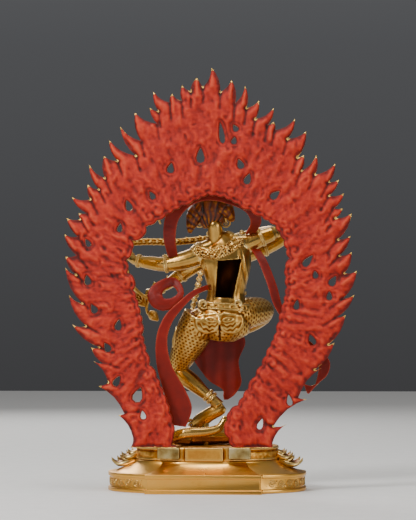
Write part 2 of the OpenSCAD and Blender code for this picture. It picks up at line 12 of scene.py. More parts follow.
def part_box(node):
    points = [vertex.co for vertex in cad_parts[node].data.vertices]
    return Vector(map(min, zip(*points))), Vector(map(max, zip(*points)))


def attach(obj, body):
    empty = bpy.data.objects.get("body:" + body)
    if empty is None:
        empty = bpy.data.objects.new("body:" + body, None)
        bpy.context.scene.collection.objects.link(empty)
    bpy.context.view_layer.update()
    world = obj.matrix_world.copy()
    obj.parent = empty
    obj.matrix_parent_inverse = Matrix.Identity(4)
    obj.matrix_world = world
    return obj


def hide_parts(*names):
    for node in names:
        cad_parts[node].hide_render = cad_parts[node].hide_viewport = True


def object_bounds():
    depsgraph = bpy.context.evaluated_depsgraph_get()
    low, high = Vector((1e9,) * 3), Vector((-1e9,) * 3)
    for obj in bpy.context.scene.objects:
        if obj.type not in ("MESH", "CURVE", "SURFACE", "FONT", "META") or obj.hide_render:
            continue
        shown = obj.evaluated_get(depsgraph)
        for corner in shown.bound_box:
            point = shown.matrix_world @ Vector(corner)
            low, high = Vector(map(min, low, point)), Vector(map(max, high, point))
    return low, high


bl_info = {
    "name": "Gilt Dancing Figure",
    "version": (1, 0, 0),
    "blender": (4, 5, 0),
    "location": "View3D > Sidebar > Statue",
    "description": "Builds the castings, ornaments, finishes and stage of a gilt statue with a flame aureole",
    "category": "Object",
}

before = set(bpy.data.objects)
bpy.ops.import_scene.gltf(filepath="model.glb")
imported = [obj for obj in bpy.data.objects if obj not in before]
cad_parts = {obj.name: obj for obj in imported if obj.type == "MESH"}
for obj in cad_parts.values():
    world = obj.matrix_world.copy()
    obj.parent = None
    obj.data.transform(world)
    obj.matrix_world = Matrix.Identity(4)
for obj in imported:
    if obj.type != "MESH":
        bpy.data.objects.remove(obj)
CAD_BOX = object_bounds()

MM = 0.001
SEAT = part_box("lotus_seat")[1].z                       # top of the lotus seat
K = (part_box("hair")[1].z - SEAT) / (232 * MM)          # size of the figure against its design height
SEED = 7


# ---- properties ---------------------------------------------------------------------------

class StatueSizes(bpy.types.PropertyGroup):
    """Sizes of the surface work."""
    flesh_voxel: FloatProperty(name="Figure grain", description="Cell size that the figure is modelled at",
                               default=0.52 * MM, min=0.4 * MM, max=1.5 * MM, unit="LENGTH")
    fine_voxel: FloatProperty(name="Fine grain", description="Cell size for the head",
                              default=0.32 * MM, min=0.3 * MM, max=1.0 * MM, unit="LENGTH")
    flame_grid: FloatProperty(name="Aureole grid", description="Grid spacing over the aureole",
                              default=1.0 * MM, min=0.8 * MM, max=3.0 * MM, unit="LENGTH")
    wax_relief: FloatProperty(name="Wax relief", description="Height of the lumps left in the aureole's wax",
                              default=0.55 * MM, min=0.0, max=1.5 * MM, unit="LENGTH")
    pearl: FloatProperty(name="Pearl", description="Radius of a pearl round the seat's rim",
                         default=1.05 * MM, min=0.5 * MM, max=1.5 * MM, unit="LENGTH")
    swirls: IntProperty(name="Swirls", description="Drop-shaped swirls modelled on the aureole",
                        default=60, min=0, max=200)


class StatueFinish(bpy.types.PropertyGroup):
    """Colours of the finishes, as sRGB hex values."""
    gold: StringProperty(name="Gilding", description="Mercury gilding, burnished", default="C2974F")
    patina: StringProperty(name="Patina", description="Brown left in the hollows of the gilding",
                           default="8A4A14")
    brass: StringProperty(name="Raw brass", description="Filed, ungilded brass", default="CDBB8C")
    red: StringProperty(name="Vermilion", description="Paint on the aureole", default="A61C08")
    scarf: StringProperty(name="Scarf red", description="Paint on the scarves", default="7C1206")
    # The hair's colour is the orange wash over gilding, darkened as painted shade.
    hair: StringProperty(name="Hair", description="Orange over gold on the hair", default="6C2C0A")


def sizes():
    """The sizes in use."""
    return bpy.context.scene.statue_sizes


def finish():
    """The colours in use."""
    return bpy.context.scene.statue_finish


# ---- places and colours -------------------------------------------------------------------

def at(x, y, z):
    """A point given in the figure's own millimetres, whose origin is the middle of the seat's top."""
    return Vector((x, y, z)) * (K * MM) + Vector((0, 0, SEAT))


def linear(hex_rgb):
    """An sRGB hex value as linear RGBA."""
    channels = [int(hex_rgb[i:i + 2], 16) / 255 for i in (0, 2, 4)]
    return (*[c / 12.92 if c <= 0.04045 else ((c + 0.055) / 1.055) ** 2.4 for c in channels], 1.0)


# ---- mesh tools ---------------------------------------------------------------------------

def piece_from(bm, name, smooth=True):
    """A new object that holds the mesh and stands at the origin."""
    mesh = bpy.data.meshes.new(name)
    bm.to_mesh(mesh)
    bm.free()
    obj = bpy.data.objects.new(name, mesh)
    bpy.context.scene.collection.objects.link(obj)
    if smooth:
        mesh.shade_smooth()
    return obj


def cad_copy(*nodes):
    """One bmesh with copies of CAD nodes, their doubles merged."""
    bm = bmesh.new()
    for node in nodes:
        bm.from_mesh(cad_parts[node].data)
    bmesh.ops.remove_doubles(bm, verts=bm.verts, dist=0.002 * MM)
    return bm


def settle(obj):
    """Applies the object's modifiers."""
    bpy.context.view_layer.update()
    graph = bpy.context.evaluated_depsgraph_get()
    mesh = bpy.data.meshes.new_from_object(obj.evaluated_get(graph))
    obj.modifiers.clear()
    obj.data = mesh
    mesh.shade_smooth()
    return obj


def ball(bm, centre, radius, detail=2):
    """A round bead."""
    bmesh.ops.create_icosphere(bm, subdivisions=detail, radius=radius, matrix=Matrix.Translation(centre))


def along(a, b):
    """Matrix at the middle of a to b, with its Z along them."""
    turn = (b - a).to_track_quat("Z", "Y").to_matrix().to_4x4()
    return Matrix.Translation((a + b) / 2) @ turn


def bone(bm, a, b, ra, rb, sides=14):
    """A tapered rod with round ends."""
    bmesh.ops.create_cone(bm, cap_ends=True, segments=sides, radius1=ra, radius2=rb,
                          depth=max((b - a).length, 1e-6), matrix=along(a, b))
    ball(bm, a, ra)
    ball(bm, b, rb)


def torus(bm, centre, axis, radius, thick, around=40, sides=10):
    """A ring of round wire, square to axis."""
    place = Matrix.Translation((radius, 0, 0)) @ Matrix.Rotation(math.pi / 2, 4, "X")
    ring = bmesh.ops.create_circle(bm, segments=sides, radius=thick, matrix=place)["verts"]
    edges = list(dict.fromkeys(e for v in ring for e in v.link_edges))
    bmesh.ops.spin(bm, geom=ring + edges, cent=(0, 0, 0), axis=(0, 0, 1), angle=math.tau, steps=around, use_merge=True)
    verts = reach(ring[0])
    turn = axis.to_track_quat("Z", "Y").to_matrix().to_4x4()
    bmesh.ops.transform(bm, matrix=Matrix.Translation(centre) @ turn, verts=verts)
    bmesh.ops.recalc_face_normals(bm, faces=list(dict.fromkeys(f for v in verts for f in v.link_faces)))


def reach(start):
    """Every vertex joined to the one given, by edges, in the order met."""
    seen, edge = {start: None}, [start]
    while edge:
        step = dict.fromkeys(e.other_vert(v) for v in edge for e in v.link_edges if e.other_vert(v) not in seen)
        seen.update(step)
        edge = list(step)
    return list(seen)


def wire(name, paths, radius, closed=False, taper=None):
    """Round wire along runs of points, as a mesh."""
    curve = bpy.data.curves.new(name, "CURVE")
    curve.dimensions = "3D"
    curve.bevel_depth = radius
    curve.bevel_resolution = 2
    curve.use_fill_caps = True
    for path in paths:
        spline = curve.splines.new("POLY")
        spline.points.add(len(path) - 1)
        spline.use_cyclic_u = closed
        for i, (point, place) in enumerate(zip(spline.points, path)):
            point.co = (*place, 1)
            point.radius = taper(i / max(1, len(path) - 1)) if taper else 1
    obj = bpy.data.objects.new(name, curve)
    bpy.context.scene.collection.objects.link(obj)
    bpy.context.view_layer.update()
    mesh = bpy.data.meshes.new_from_object(obj.evaluated_get(bpy.context.evaluated_depsgraph_get()))
    bpy.data.objects.remove(obj)
    bpy.data.curves.remove(curve)
    bm = bmesh.new()
    bm.from_mesh(mesh)
    bmesh.ops.remove_doubles(bm, verts=bm.verts, dist=0.002 * MM)
    bmesh.ops.recalc_face_normals(bm, faces=bm.faces)
    bm.to_mesh(mesh)
    bm.free()
    return mesh


def coords(mesh):
    """Every vertex's place, as an array."""
    co = np.empty(len(mesh.vertices) * 3, np.float32)
    mesh.vertices.foreach_get("co", co)
    return co.reshape(-1, 3).astype(float)


def set_coords(mesh, co):
    """Puts every vertex at its place in the array."""
    mesh.vertices.foreach_set("co", co.astype(np.float32).ravel())
    mesh.update()


def normals(mesh):
    """Every vertex's normal, as an array."""
    out = np.empty(len(mesh.vertices) * 3, np.float32)
    mesh.vertex_normals.foreach_get("vector", out)
    return out.reshape(-1, 3).astype(float)


def edge_pairs(mesh):
    """The two vertices of every edge, as an array."""
    out = np.empty(len(mesh.edges) * 2, np.int32)
    mesh.edges.foreach_get("vertices", out)
    return out.reshape(-1, 2)


def spread(values, pairs):
    """The mean of each vertex's neighbours."""
    n = len(values)
    flat = values.reshape(n, -1)
    count = np.bincount(pairs.ravel(), minlength=n)
    out = np.empty_like(flat)
    for c in range(flat.shape[1]):
        total = np.bincount(pairs[:, 0], flat[pairs[:, 1], c], n) + np.bincount(pairs[:, 1], flat[pairs[:, 0], c], n)
        out[:, c] = total / np.maximum(count, 1)
    return out.reshape(values.shape)


def smooth_casting(mesh, passes, keep=None):
    """Rounds the mesh without shrinking it; keep is 1 where a vertex stays."""
    co, pairs = coords(mesh), edge_pairs(mesh)
    hold = 1 - keep[:, None] if keep is not None else 1
    for _ in range(passes):
        co += 0.55 * hold * (spread(co, pairs) - co)
        co -= 0.56 * hold * (spread(co, pairs) - co)
    set_coords(mesh, co)


def casting(name, bm, voxel, passes=8):
    """One rounded skin over everything in the bmesh."""
    obj = piece_from(bm, name)
    mod = obj.modifiers.new("Skin", "REMESH")
    mod.mode = "VOXEL"
    mod.voxel_size = voxel
    settle(obj)
    smooth_casting(obj.data, passes)
    return obj


def sculpt(obj, height):
    """Moves each vertex along its normal by height(x, y, z, normals), in the figure's own millimetres."""
    mesh = obj.data
    co, no = coords(mesh), normals(mesh)
    x, y, z = co[:, 0] / MM / K, co[:, 1] / MM / K, (co[:, 2] - SEAT) / MM / K
    set_coords(mesh, co + no * (height(x, y, z, no) * MM * K)[:, None])


def bump(d, width):
    """A soft round hump: 1 where d is 0, gone at about twice the width."""
    return np.exp(-(d / width) ** 2)


def step_up(v, low, high):
    """A smooth step from 0 at low to 1 at high."""
    t = np.clip((v - low) / (high - low), 0, 1)
    return t * t * (3 - 2 * t)


def wax(co, scale, octaves=3):
    """Lumps of hand-worked wax, about -1 to 1."""
    return np.array([noise.fractal(Vector(c) * scale, 1.0, 2.0, octaves) for c in co])


def mark(obj, name, values):
    """Stores a number on each vertex for the finish to read."""
    layer = obj.data.attributes.get(name) or obj.data.attributes.new(name, "FLOAT", "POINT")
    layer.data.foreach_set("value", np.clip(values, 0, 1).astype(np.float32))


def mark_wear(obj, gain=1.0, passes=3):
    """Stores 0 in hollows, 0.5 on plain surface and 1 on ridges."""
    mesh = obj.data
    co, no, pairs = coords(mesh), normals(mesh), edge_pairs(mesh)
    span = np.linalg.norm(co[pairs[:, 0]] - co[pairs[:, 1]], axis=1).mean() + 1e-9
    wide = co
    for _ in range(8):
        wide = spread(wide, pairs)
    ridge = ((co - wide) * no).sum(1) / span
    for _ in range(passes):
        ridge = 0.5 * ridge + 0.5 * spread(ridge, pairs)
    ridge = ridge - 0.12
    mark(obj, "wear_and_painted_light", 0.52 + np.tanh(ridge * 0.8 * gain) / 2)


def stand_for(obj, body, nodes, material):
    """Puts a finished piece on its body, in place of its CAD nodes."""
    obj.data.materials.clear()
    obj.data.materials.append(material)
    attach(obj, body)
    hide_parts(*nodes)
    return obj


# ---- finishes -----------------------------------------------------------------------------

def new_material(name):
    """A new material, its tree and its shader; or the one already made, with no tree."""
    made = bpy.data.materials.get(name)
    if made:
        return made, None, None
    mat = bpy.data.materials.new(name)
    mat.use_nodes = True
    return mat, mat.node_tree, mat.node_tree.nodes["Principled BSDF"]


def per(size):
    """Scale of a pattern whose features are size millimetres across."""
    return 1000 / size


def add(tree, kind, links=(), to=(), stops=(), **settings):
    """Adds a node with its settings and links.

    Settings name its properties or its inputs. links are (socket, input) pairs, to are (output, socket) pairs,
    and stops are the (place, hex) pairs of a colour ramp.
    """
    node = tree.nodes.new(kind)
    for i, (place, colour) in enumerate(stops):
        stop = node.color_ramp.elements[i] if i < 2 else node.color_ramp.elements.new(place)
        stop.position, stop.color = place, linear(colour)
    for key, value in settings.items():
        if hasattr(node, key):
            setattr(node, key, value)
        else:
            node.inputs[key.replace("_", " ")].default_value = value
    for source, target in links:
        tree.links.new(source, node.inputs[target])
    for source, target in to:
        tree.links.new(node.outputs[source], target)
    return node


# Gildings by how the metal was worked: roughness, how much brown is left, and whether the gold is redder.
GILDINGS = {
    "Burnished_Gilding": (0.20, 0.5, False),     # bare skin, rubbed to a mirror
    "Satin_Gilding": (0.30, 0.5, False),         # trousers, left matt between their punched dashes
    "Chased_Gilding": (0.30, 0.5, False),        # jewels and petals, cut with the chisel
    "Brown_Gilding": (0.36, 1.6, False),         # arrow and lotus, thinly gilt
    "Warm_Gilding": (0.24, 0.5, True),           # plinth and drum, gilt redder and thicker
    "Rough_Gilding": (0.36, 0.5, True),          # sides of the seat, gilt over the raw casting
}


def gilding(name):
    """Mercury-gilt cast copper alloy, fired and then rubbed with agate.

    It gives a warm, soft-edged shine on whatever stands proud, and a duller brown in the hollows that the agate
    couldn't reach. Clouds 14 mm across shift the tone, and a 1 mm grain breaks up the reflections. A finer grain
    is true of agate, but wouldn't show.
    """
    mat, tree, shader = new_material(name)
    if tree is None:
        return mat
    rough, brown, warm = GILDINGS[name]
    place = add(tree, "ShaderNodeTexCoord").outputs["Object"]
    tone = add(tree, "ShaderNodeMath", operation="ADD")
    # This number is wear and patina, and in the relic chamber painted shade.
    add(tree, "ShaderNodeAttribute", to=[("Fac", tone.inputs[0])], attribute_name="wear_and_painted_light")
    cloud = add(tree, "ShaderNodeTexNoise", [(place, "Vector")], Scale=per(14.2857), Detail=5, Roughness=0.6)
    add(tree, "ShaderNodeMapRange", [(cloud.outputs["Fac"], "Value")], [("Result", tone.inputs[1])],
        From_Min=0.3, From_Max=0.7, To_Min=-0.045, To_Max=0.045)
    middle, bright = ("C6822E", "E4A94C") if warm else ("A27536", finish().gold)
    add(tree, "ShaderNodeValToRGB", [(tone.outputs[0], "Fac")], [("Color", shader.inputs["Base Color"])],
        stops=[(0.04, "120803"), (0.20, "4A2208"), (0.33 + 0.05 * brown, finish().patina),
               (0.42 + 0.06 * brown, middle), (0.50 + 0.06 * brown, bright), (0.9, "E4C480")])
    add(tree, "ShaderNodeMapRange", [(tone.outputs[0], "Value")], [("Result", shader.inputs["Roughness"])],
        From_Min=0.25, From_Max=0.65, To_Min=rough + 0.26, To_Max=rough)
    grain = add(tree, "ShaderNodeTexNoise", [(place, "Vector")], Scale=per(1.1111), Detail=3)
    add(tree, "ShaderNodeBump", [(grain.outputs["Fac"], "Height")], [("Normal", shader.inputs["Normal"])],
        Strength=0.10, Distance=0.25 * MM)
    shader.inputs["Metallic"].default_value = 1.0
    return mat


def painted(name, paint, rough, cloudy, tooth):
    """Cold vermilion, brushed over a gilt casting.

    It gives a dry, uneven red: deep in the hollows, chalkier on the ridges, and rubbed through to bright gilding
    at tips and edges. On the flames the deep and chalky tones are painted shade and painted highlight over the relief.
    Clouds are 38 mm across, brush marks 7 mm, and the paint's tooth 2 mm, which is coarser than real pigment, so that
    it shows.
    """
    mat, tree, shader = new_material(name)
    if tree is None:
        return mat
    place = add(tree, "ShaderNodeTexCoord").outputs["Object"]
    brush = add(tree, "ShaderNodeTexNoise", [(place, "Vector")], Scale=per(7.1429), Detail=6, Roughness=0.65)
    cloud = add(tree, "ShaderNodeTexNoise", [(place, "Vector")], Scale=per(38.4615), Detail=4)
    clouded = add(tree, "ShaderNodeMath", operation="ADD")
    brushed = add(tree, "ShaderNodeMath", [(clouded.outputs[0], 0)], operation="ADD")
    ragged = add(tree, "ShaderNodeMath", operation="ADD")
    # This number is the paint's wear, and on the flames painted highlight and painted shade.
    add(tree, "ShaderNodeAttribute", to=[("Fac", clouded.inputs[0])], attribute_name="wear_and_painted_light")
    add(tree, "ShaderNodeAttribute", to=[("Fac", ragged.inputs[0])], attribute_name="bare")
    for source, target, swing in ((cloud, clouded, 0.12 * cloudy), (brush, brushed, 0.05), (brush, ragged, 0.22)):
        add(tree, "ShaderNodeMapRange", [(source.outputs["Fac"], "Value")], [("Result", target.inputs[1])],
            From_Min=0.3, From_Max=0.7, To_Min=-swing, To_Max=swing)
    red = add(tree, "ShaderNodeValToRGB", [(brushed.outputs[0], "Fac")], stops=paint)
    gold = add(tree, "ShaderNodeMapRange", [(ragged.outputs[0], "Value")], [("Result", shader.inputs["Metallic"])],
               From_Min=0.50, From_Max=0.60)
    add(tree, "ShaderNodeMix", [(gold.outputs["Result"], "Factor"), (red.outputs["Color"], "A")],
        [("Result", shader.inputs["Base Color"])], data_type="RGBA", B=linear("E2B45C"))
    add(tree, "ShaderNodeMapRange", [(gold.outputs["Result"], "Value")], [("Result", shader.inputs["Roughness"])],
        To_Min=rough, To_Max=0.3)
    grain = add(tree, "ShaderNodeTexNoise", [(place, "Vector")], Scale=per(1.92308), Detail=6, Roughness=0.7,
                Distortion=0.6)
    add(tree, "ShaderNodeBump", [(grain.outputs["Fac"], "Height")], [("Normal", shader.inputs["Normal"])],
        Strength=tooth, Distance=1.0 * MM)
    shader.inputs["Specular IOR Level"].default_value = 0.28
    return mat


def flame_paint():
    """Vermilion on the flames, which were left rough from the wax: the drier and more toothed of the two reds."""
    return painted("Vermilion_On_Cast_Flames", rough=0.52, cloudy=0.5, tooth=0.9, paint=[
        (0.10, "3A0502"), (0.34, "7C1206"), (0.50, finish().red), (0.66, "BC2E12"), (0.9, "D04A28")])


def scarf_paint():
    """Vermilion on the scarves, which were filed smooth first: deeper and a little glossier."""
    return painted("Vermilion_On_Cast_Scarf", rough=0.45, cloudy=0.6, tooth=0.25, paint=[
        (0.2, "300602"), (0.42, "660F06"), (0.55, finish().scarf), (0.9, "AC3A1C")])


def filed_brass():
    """Cast brass left from the file, never gilt: pale and streaky, with 1 mm scratches one way and a brown bloom."""
    mat, tree, shader = new_material("Filed_Brass")
    if tree is None:
        return mat
    place = add(tree, "ShaderNodeTexCoord").outputs["Object"]
    streaks = add(tree, "ShaderNodeMapping", [(place, "Vector")], Scale=(per(16.6667), per(1.1111), per(1.1111)))
    scratch = add(tree, "ShaderNodeTexNoise", [(streaks.outputs["Vector"], "Vector")], Scale=1.0, Detail=3)
    bloom = add(tree, "ShaderNodeTexNoise", [(place, "Vector")], Scale=per(8.3333), Detail=4)
    add(tree, "ShaderNodeValToRGB", [(bloom.outputs["Fac"], "Fac")], [("Color", shader.inputs["Base Color"])],
        stops=[(0.3, "8C6A34"), (0.5, "B59C62"), (0.7, finish().brass)])
    add(tree, "ShaderNodeMapRange", [(scratch.outputs["Fac"], "Value")], [("Result", shader.inputs["Roughness"])],
        From_Min=0.3, From_Max=0.7, To_Min=0.32, To_Max=0.5)
    add(tree, "ShaderNodeBump", [(scratch.outputs["Fac"], "Height")], [("Normal", shader.inputs["Normal"])],
        Strength=0.15, Distance=0.1 * MM)
    shader.inputs["Metallic"].default_value = 1.0
    return mat


def beaten_copper():
    """Copper sheet beaten over the underside: dull, reddish, mottled brown, with hammer marks 6 mm apart."""
    mat, tree, shader = new_material("Beaten_Copper")
    if tree is None:
        return mat
    place = add(tree, "ShaderNodeTexCoord").outputs["Object"]
    bloom = add(tree, "ShaderNodeTexNoise", [(place, "Vector")], Scale=per(22.2222), Detail=5)
    add(tree, "ShaderNodeValToRGB", [(bloom.outputs["Fac"], "Fac")], [("Color", shader.inputs["Base Color"])],
        stops=[(0.3, "5A2E1A"), (0.55, "A5613A"), (0.75, "C98560")])
    dents = add(tree, "ShaderNodeTexVoronoi", [(place, "Vector")], Scale=per(6.25))
    add(tree, "ShaderNodeBump", [(dents.outputs["Distance"], "Height")], [("Normal", shader.inputs["Normal"])],
        Strength=0.4, Distance=0.3 * MM)
    shader.inputs["Metallic"].default_value = 1.0
    shader.inputs["Roughness"].default_value = 0.45
    return mat


def combed_hair_in_painted_shade():
    """Orange pigment washed over gilt strands: dark between them, worn back to gold where they stand proud.

    The wash pools in clouds 4.5 mm across. Every stop is also darkened, as painted shade over the hair.
    """
    mat, tree, shader = new_material("Orange_Wash_On_Gilding_In_Painted_Shade")
    if tree is None:
        return mat
    place = add(tree, "ShaderNodeTexCoord").outputs["Object"]
    tone = add(tree, "ShaderNodeMath", operation="ADD")
    add(tree, "ShaderNodeAttribute", to=[("Fac", tone.inputs[0])], attribute_name="wear_and_painted_light")
    cloud = add(tree, "ShaderNodeTexNoise", [(place, "Vector")], Scale=per(4.54545), Detail=4)
    add(tree, "ShaderNodeMapRange", [(cloud.outputs["Fac"], "Value")], [("Result", tone.inputs[1])],
        From_Min=0.3, From_Max=0.7, To_Min=-0.12, To_Max=0.12)
    # These stops are the wash over gilding, darkened as painted shade.
    add(tree, "ShaderNodeValToRGB", [(tone.outputs[0], "Fac")], [("Color", shader.inputs["Base Color"])],
        stops=[(0.2, "1C0803"), (0.42, "4E1D07"), (0.56, finish().hair), (0.74, "9C6020")])
    add(tree, "ShaderNodeMapRange", [(tone.outputs[0], "Value")], [("Result", shader.inputs["Metallic"])],
        From_Min=0.4, From_Max=0.75, To_Min=0.15, To_Max=0.9)
    add(tree, "ShaderNodeBump", [(cloud.outputs["Fac"], "Height")], [("Normal", shader.inputs["Normal"])],
        Strength=0.2, Distance=0.2 * MM)
    shader.inputs["Roughness"].default_value = 0.42
    return mat


def matt_paper():
    """Matt paper roll under the statue: pale and even, with a faint 17 mm cloud in its pulp."""
    mat, tree, shader = new_material("Matt_Paper")
    place = add(tree, "ShaderNodeTexCoord").outputs["Object"]
    pulp = add(tree, "ShaderNodeTexNoise", [(place, "Vector")], Scale=per(16.6667), Detail=3)
    add(tree, "ShaderNodeValToRGB", [(pulp.outputs["Fac"], "Fac")], [("Color", shader.inputs["Base Color"])],
        stops=[(0.3, "D9D7D3"), (0.7, "DEDCD8")])
    shader.inputs["Roughness"].default_value = 0.85
    return mat


# ---- base ---------------------------------------------------------------------------------

OVAL_POWER = 0.85          # 1 would be an ellipse
SCROLL_UNIT = 8.6 * MM     # one scroll of the frieze
RIM_UNIT = 2.4 * MM        # one pearl of the seat's rim


def even_run(places, step, closed=False):
    """Points a step apart along a smooth run through the places."""
    pts = [np.array(p, float) for p in places]
    if closed:
        ring = pts[-1:] + pts + pts[:2]
    else:
        ring = [2 * pts[0] - pts[1]] + pts + [2 * pts[-1] - pts[-2]]
    fine = []
    for a, b, c, d in zip(ring, ring[1:], ring[2:], ring[3:]):
        for t in np.arange(0, 1, 0.05):
            fine.append(0.5 * (2 * b + (c - a) * t + (2 * a - 5 * b + 4 * c - d) * t * t
                               + (3 * b - a - 3 * c + d) * t ** 3))
    if not closed:
        fine.append(pts[-1])
    fine = np.array(fine)
    length = np.concatenate([[0], np.cumsum(np.linalg.norm(np.diff(fine, axis=0), axis=1))])
    count = max(2, round(length[-1] / step) + 1)
    marks = np.linspace(0, length[-1], count)
    return [Vector([np.interp(m, length, fine[:, i]) for i in range(fine.shape[1])]) for m in marks]


def soften(obj, width, segments=3):
    """Rounds the object's sharp edges, and keeps its flats crisp."""
    mod = obj.modifiers.new("Edges", "BEVEL")
    mod.width = width
    mod.segments = segments
    mod.limit_method = "ANGLE"
    mod.angle_limit = math.radians(35)
    mod.harden_normals = True
    return settle(obj)


def crisp_copy(node, name, width, segments=3):
    """A CAD node with its flat faces joined up and its edges rounded."""
    bm = cad_copy(node)
    bmesh.ops.dissolve_limit(bm, angle_limit=math.radians(1), verts=bm.verts, edges=bm.edges)
    return soften(piece_from(bm, name), width, segments)


def even_wear(obj, wear_and_painted_light):
    """Gives the whole piece the same wear."""
    mark(obj, "wear_and_painted_light", np.full(len(obj.data.vertices), wear_and_painted_light))


def ornament(bm, name):
    """A small gilt piece of the base that has no CAD node of its own."""
    obj = piece_from(bm, name)
    even_wear(obj, 0.62)
    obj.data.materials.append(gilding("Chased_Gilding"))
    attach(obj, "base")


def oval(across, deep, z=0.0):
    """Points round an oval of these half sizes, a little squarer than an ellipse."""
    turns = [(math.cos(a), math.sin(a)) for a in np.linspace(0, math.tau, 240)]
    return [(math.copysign(abs(c) ** OVAL_POWER, c) * across, math.copysign(abs(s) ** OVAL_POWER, s) * deep, z)
            for c, s in turns]


def oval_reach(angle, a, b):
    """Distance from the middle to the same oval."""
    power = 2 / OVAL_POWER
    return ((abs(math.cos(angle)) / a) ** power + (abs(math.sin(angle)) / b) ** power) ** (-1 / power)


def islands(bm):
    """Groups of joined vertices."""
    seen, out = set(), []
    for v in bm.verts:
        if v not in seen:
            out.append(reach(v))
            seen.update(out[-1])
    return out


def axes_of(points):
    """Centre and principal directions, longest first."""
    pts = np.array([tuple(p) for p in points])
    centre = pts.mean(0)
    _, vectors = np.linalg.eigh(np.cov((pts - centre).T))
    return Vector(centre), [Vector(vectors[:, i]) for i in (2, 1, 0)]


class STATUE_OT_plinth(bpy.types.Operator):
    """Plinth with its scroll frieze, and the copper sheet closing it underneath"""
    bl_idname = "statue.plinth"
    bl_label = "Plinth"

    def execute(self, context):
        obj = crisp_copy("plinth", "plinth_casting", 0.5 * MM)
        even_wear(obj, 0.55)
        stand_for(obj, "base", ["plinth"], gilding("Warm_Gilding"))
        low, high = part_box("plinth")
        middle, half = (low + high) / 2, (high - low) / 2
        plain = half.x * 0.60 + 2 * MM                         # half width of the plain bay, with its margin
        paths, buds = [], bmesh.new()
        outline = oval(half.x - 1.6 * MM, half.y - 4.6 * MM)
        spots = even_run(outline, SCROLL_UNIT)
        for i, spot in enumerate(spots[:-1]):
            if abs(spot.x) < plain:
                continue
            way = (spots[i + 1] - spots[i - 1]).normalized()
            out = way.cross(Vector((0, 0, 1)))
            hand = 1 if i % 2 else -1
            turns = [(t, (3.1 - 0.20 * t) * MM) for t in np.linspace(0, 2.2 * math.tau, 30)]
            paths.append([spot + out * 0.1 * MM + way * r * math.cos(t)
                          + Vector((0, 0, middle.z + hand * r * math.sin(t))) for t, r in turns])
            ball(buds, spot + Vector((0, 0, middle.z)), 0.8 * MM, 1)
            ball(buds, spot + way * SCROLL_UNIT / 2 + Vector((0, 0, middle.z + hand * 2.2 * MM)), 0.9 * MM, 1)
            ball(buds, spot + way * SCROLL_UNIT / 2 + Vector((0, 0, middle.z - hand * 2.6 * MM)), 0.6 * MM, 1)
        buds.from_mesh(wire("scrolls", paths, 0.55 * MM, taper=lambda t: 1 - 0.4 * t))
        ornament(buds, "scroll_frieze")
        plate = crisp_copy("base_plate", "copper_sheet", 0.2 * MM, 2)
        stand_for(plate, "base", ["base_plate"], beaten_copper())
        return {"FINISHED"}


def petal(bm, root, out, length, width, drop, curl):
    """A thick petal that leaves root along out, falls by drop, domes across and turns up at its tip."""
    side = Vector((-out.y, out.x, 0))
    made = bmesh.ops.create_grid(bm, x_segments=14, y_segments=16, size=1)
    for v in made["verts"]:
        u, t = v.co.x, (v.co.y + 1) / 2
        swell = 0.70 + 0.30 * math.sin(math.pi / 2 * min(t / 0.45, 1))
        broad = width * swell * (1 - 0.93 * max(0, (t - 0.45) / 0.55) ** 2.4)
        up = -drop * (1 - (1 - t) ** 2) + curl * max(0, (t - 0.62) / 0.38) ** 2
        rim, rib = math.exp(-((abs(u) - 0.84) / 0.11) ** 2), math.exp(-(u / 0.14) ** 2)
        dome = 2.2 * (1 - u * u) * (1 - 0.45 * t) + 0.7 * rim + 0.6 * rib * t
        v.co = root + out * length * t + side * u * broad + Vector((0, 0, up + dome * MM))
    lower = bmesh.ops.extrude_face_region(bm, geom=list(dict.fromkeys(f for v in made["verts"] for f in v.link_faces)))
    for v in lower["geom"]:
        if isinstance(v, bmesh.types.BMVert):
            t = (v.co - root).dot(out) / length
            v.co.z -= (4.4 - 3.1 * t) * MM
    bmesh.ops.recalc_face_normals(bm, faces=bm.faces)


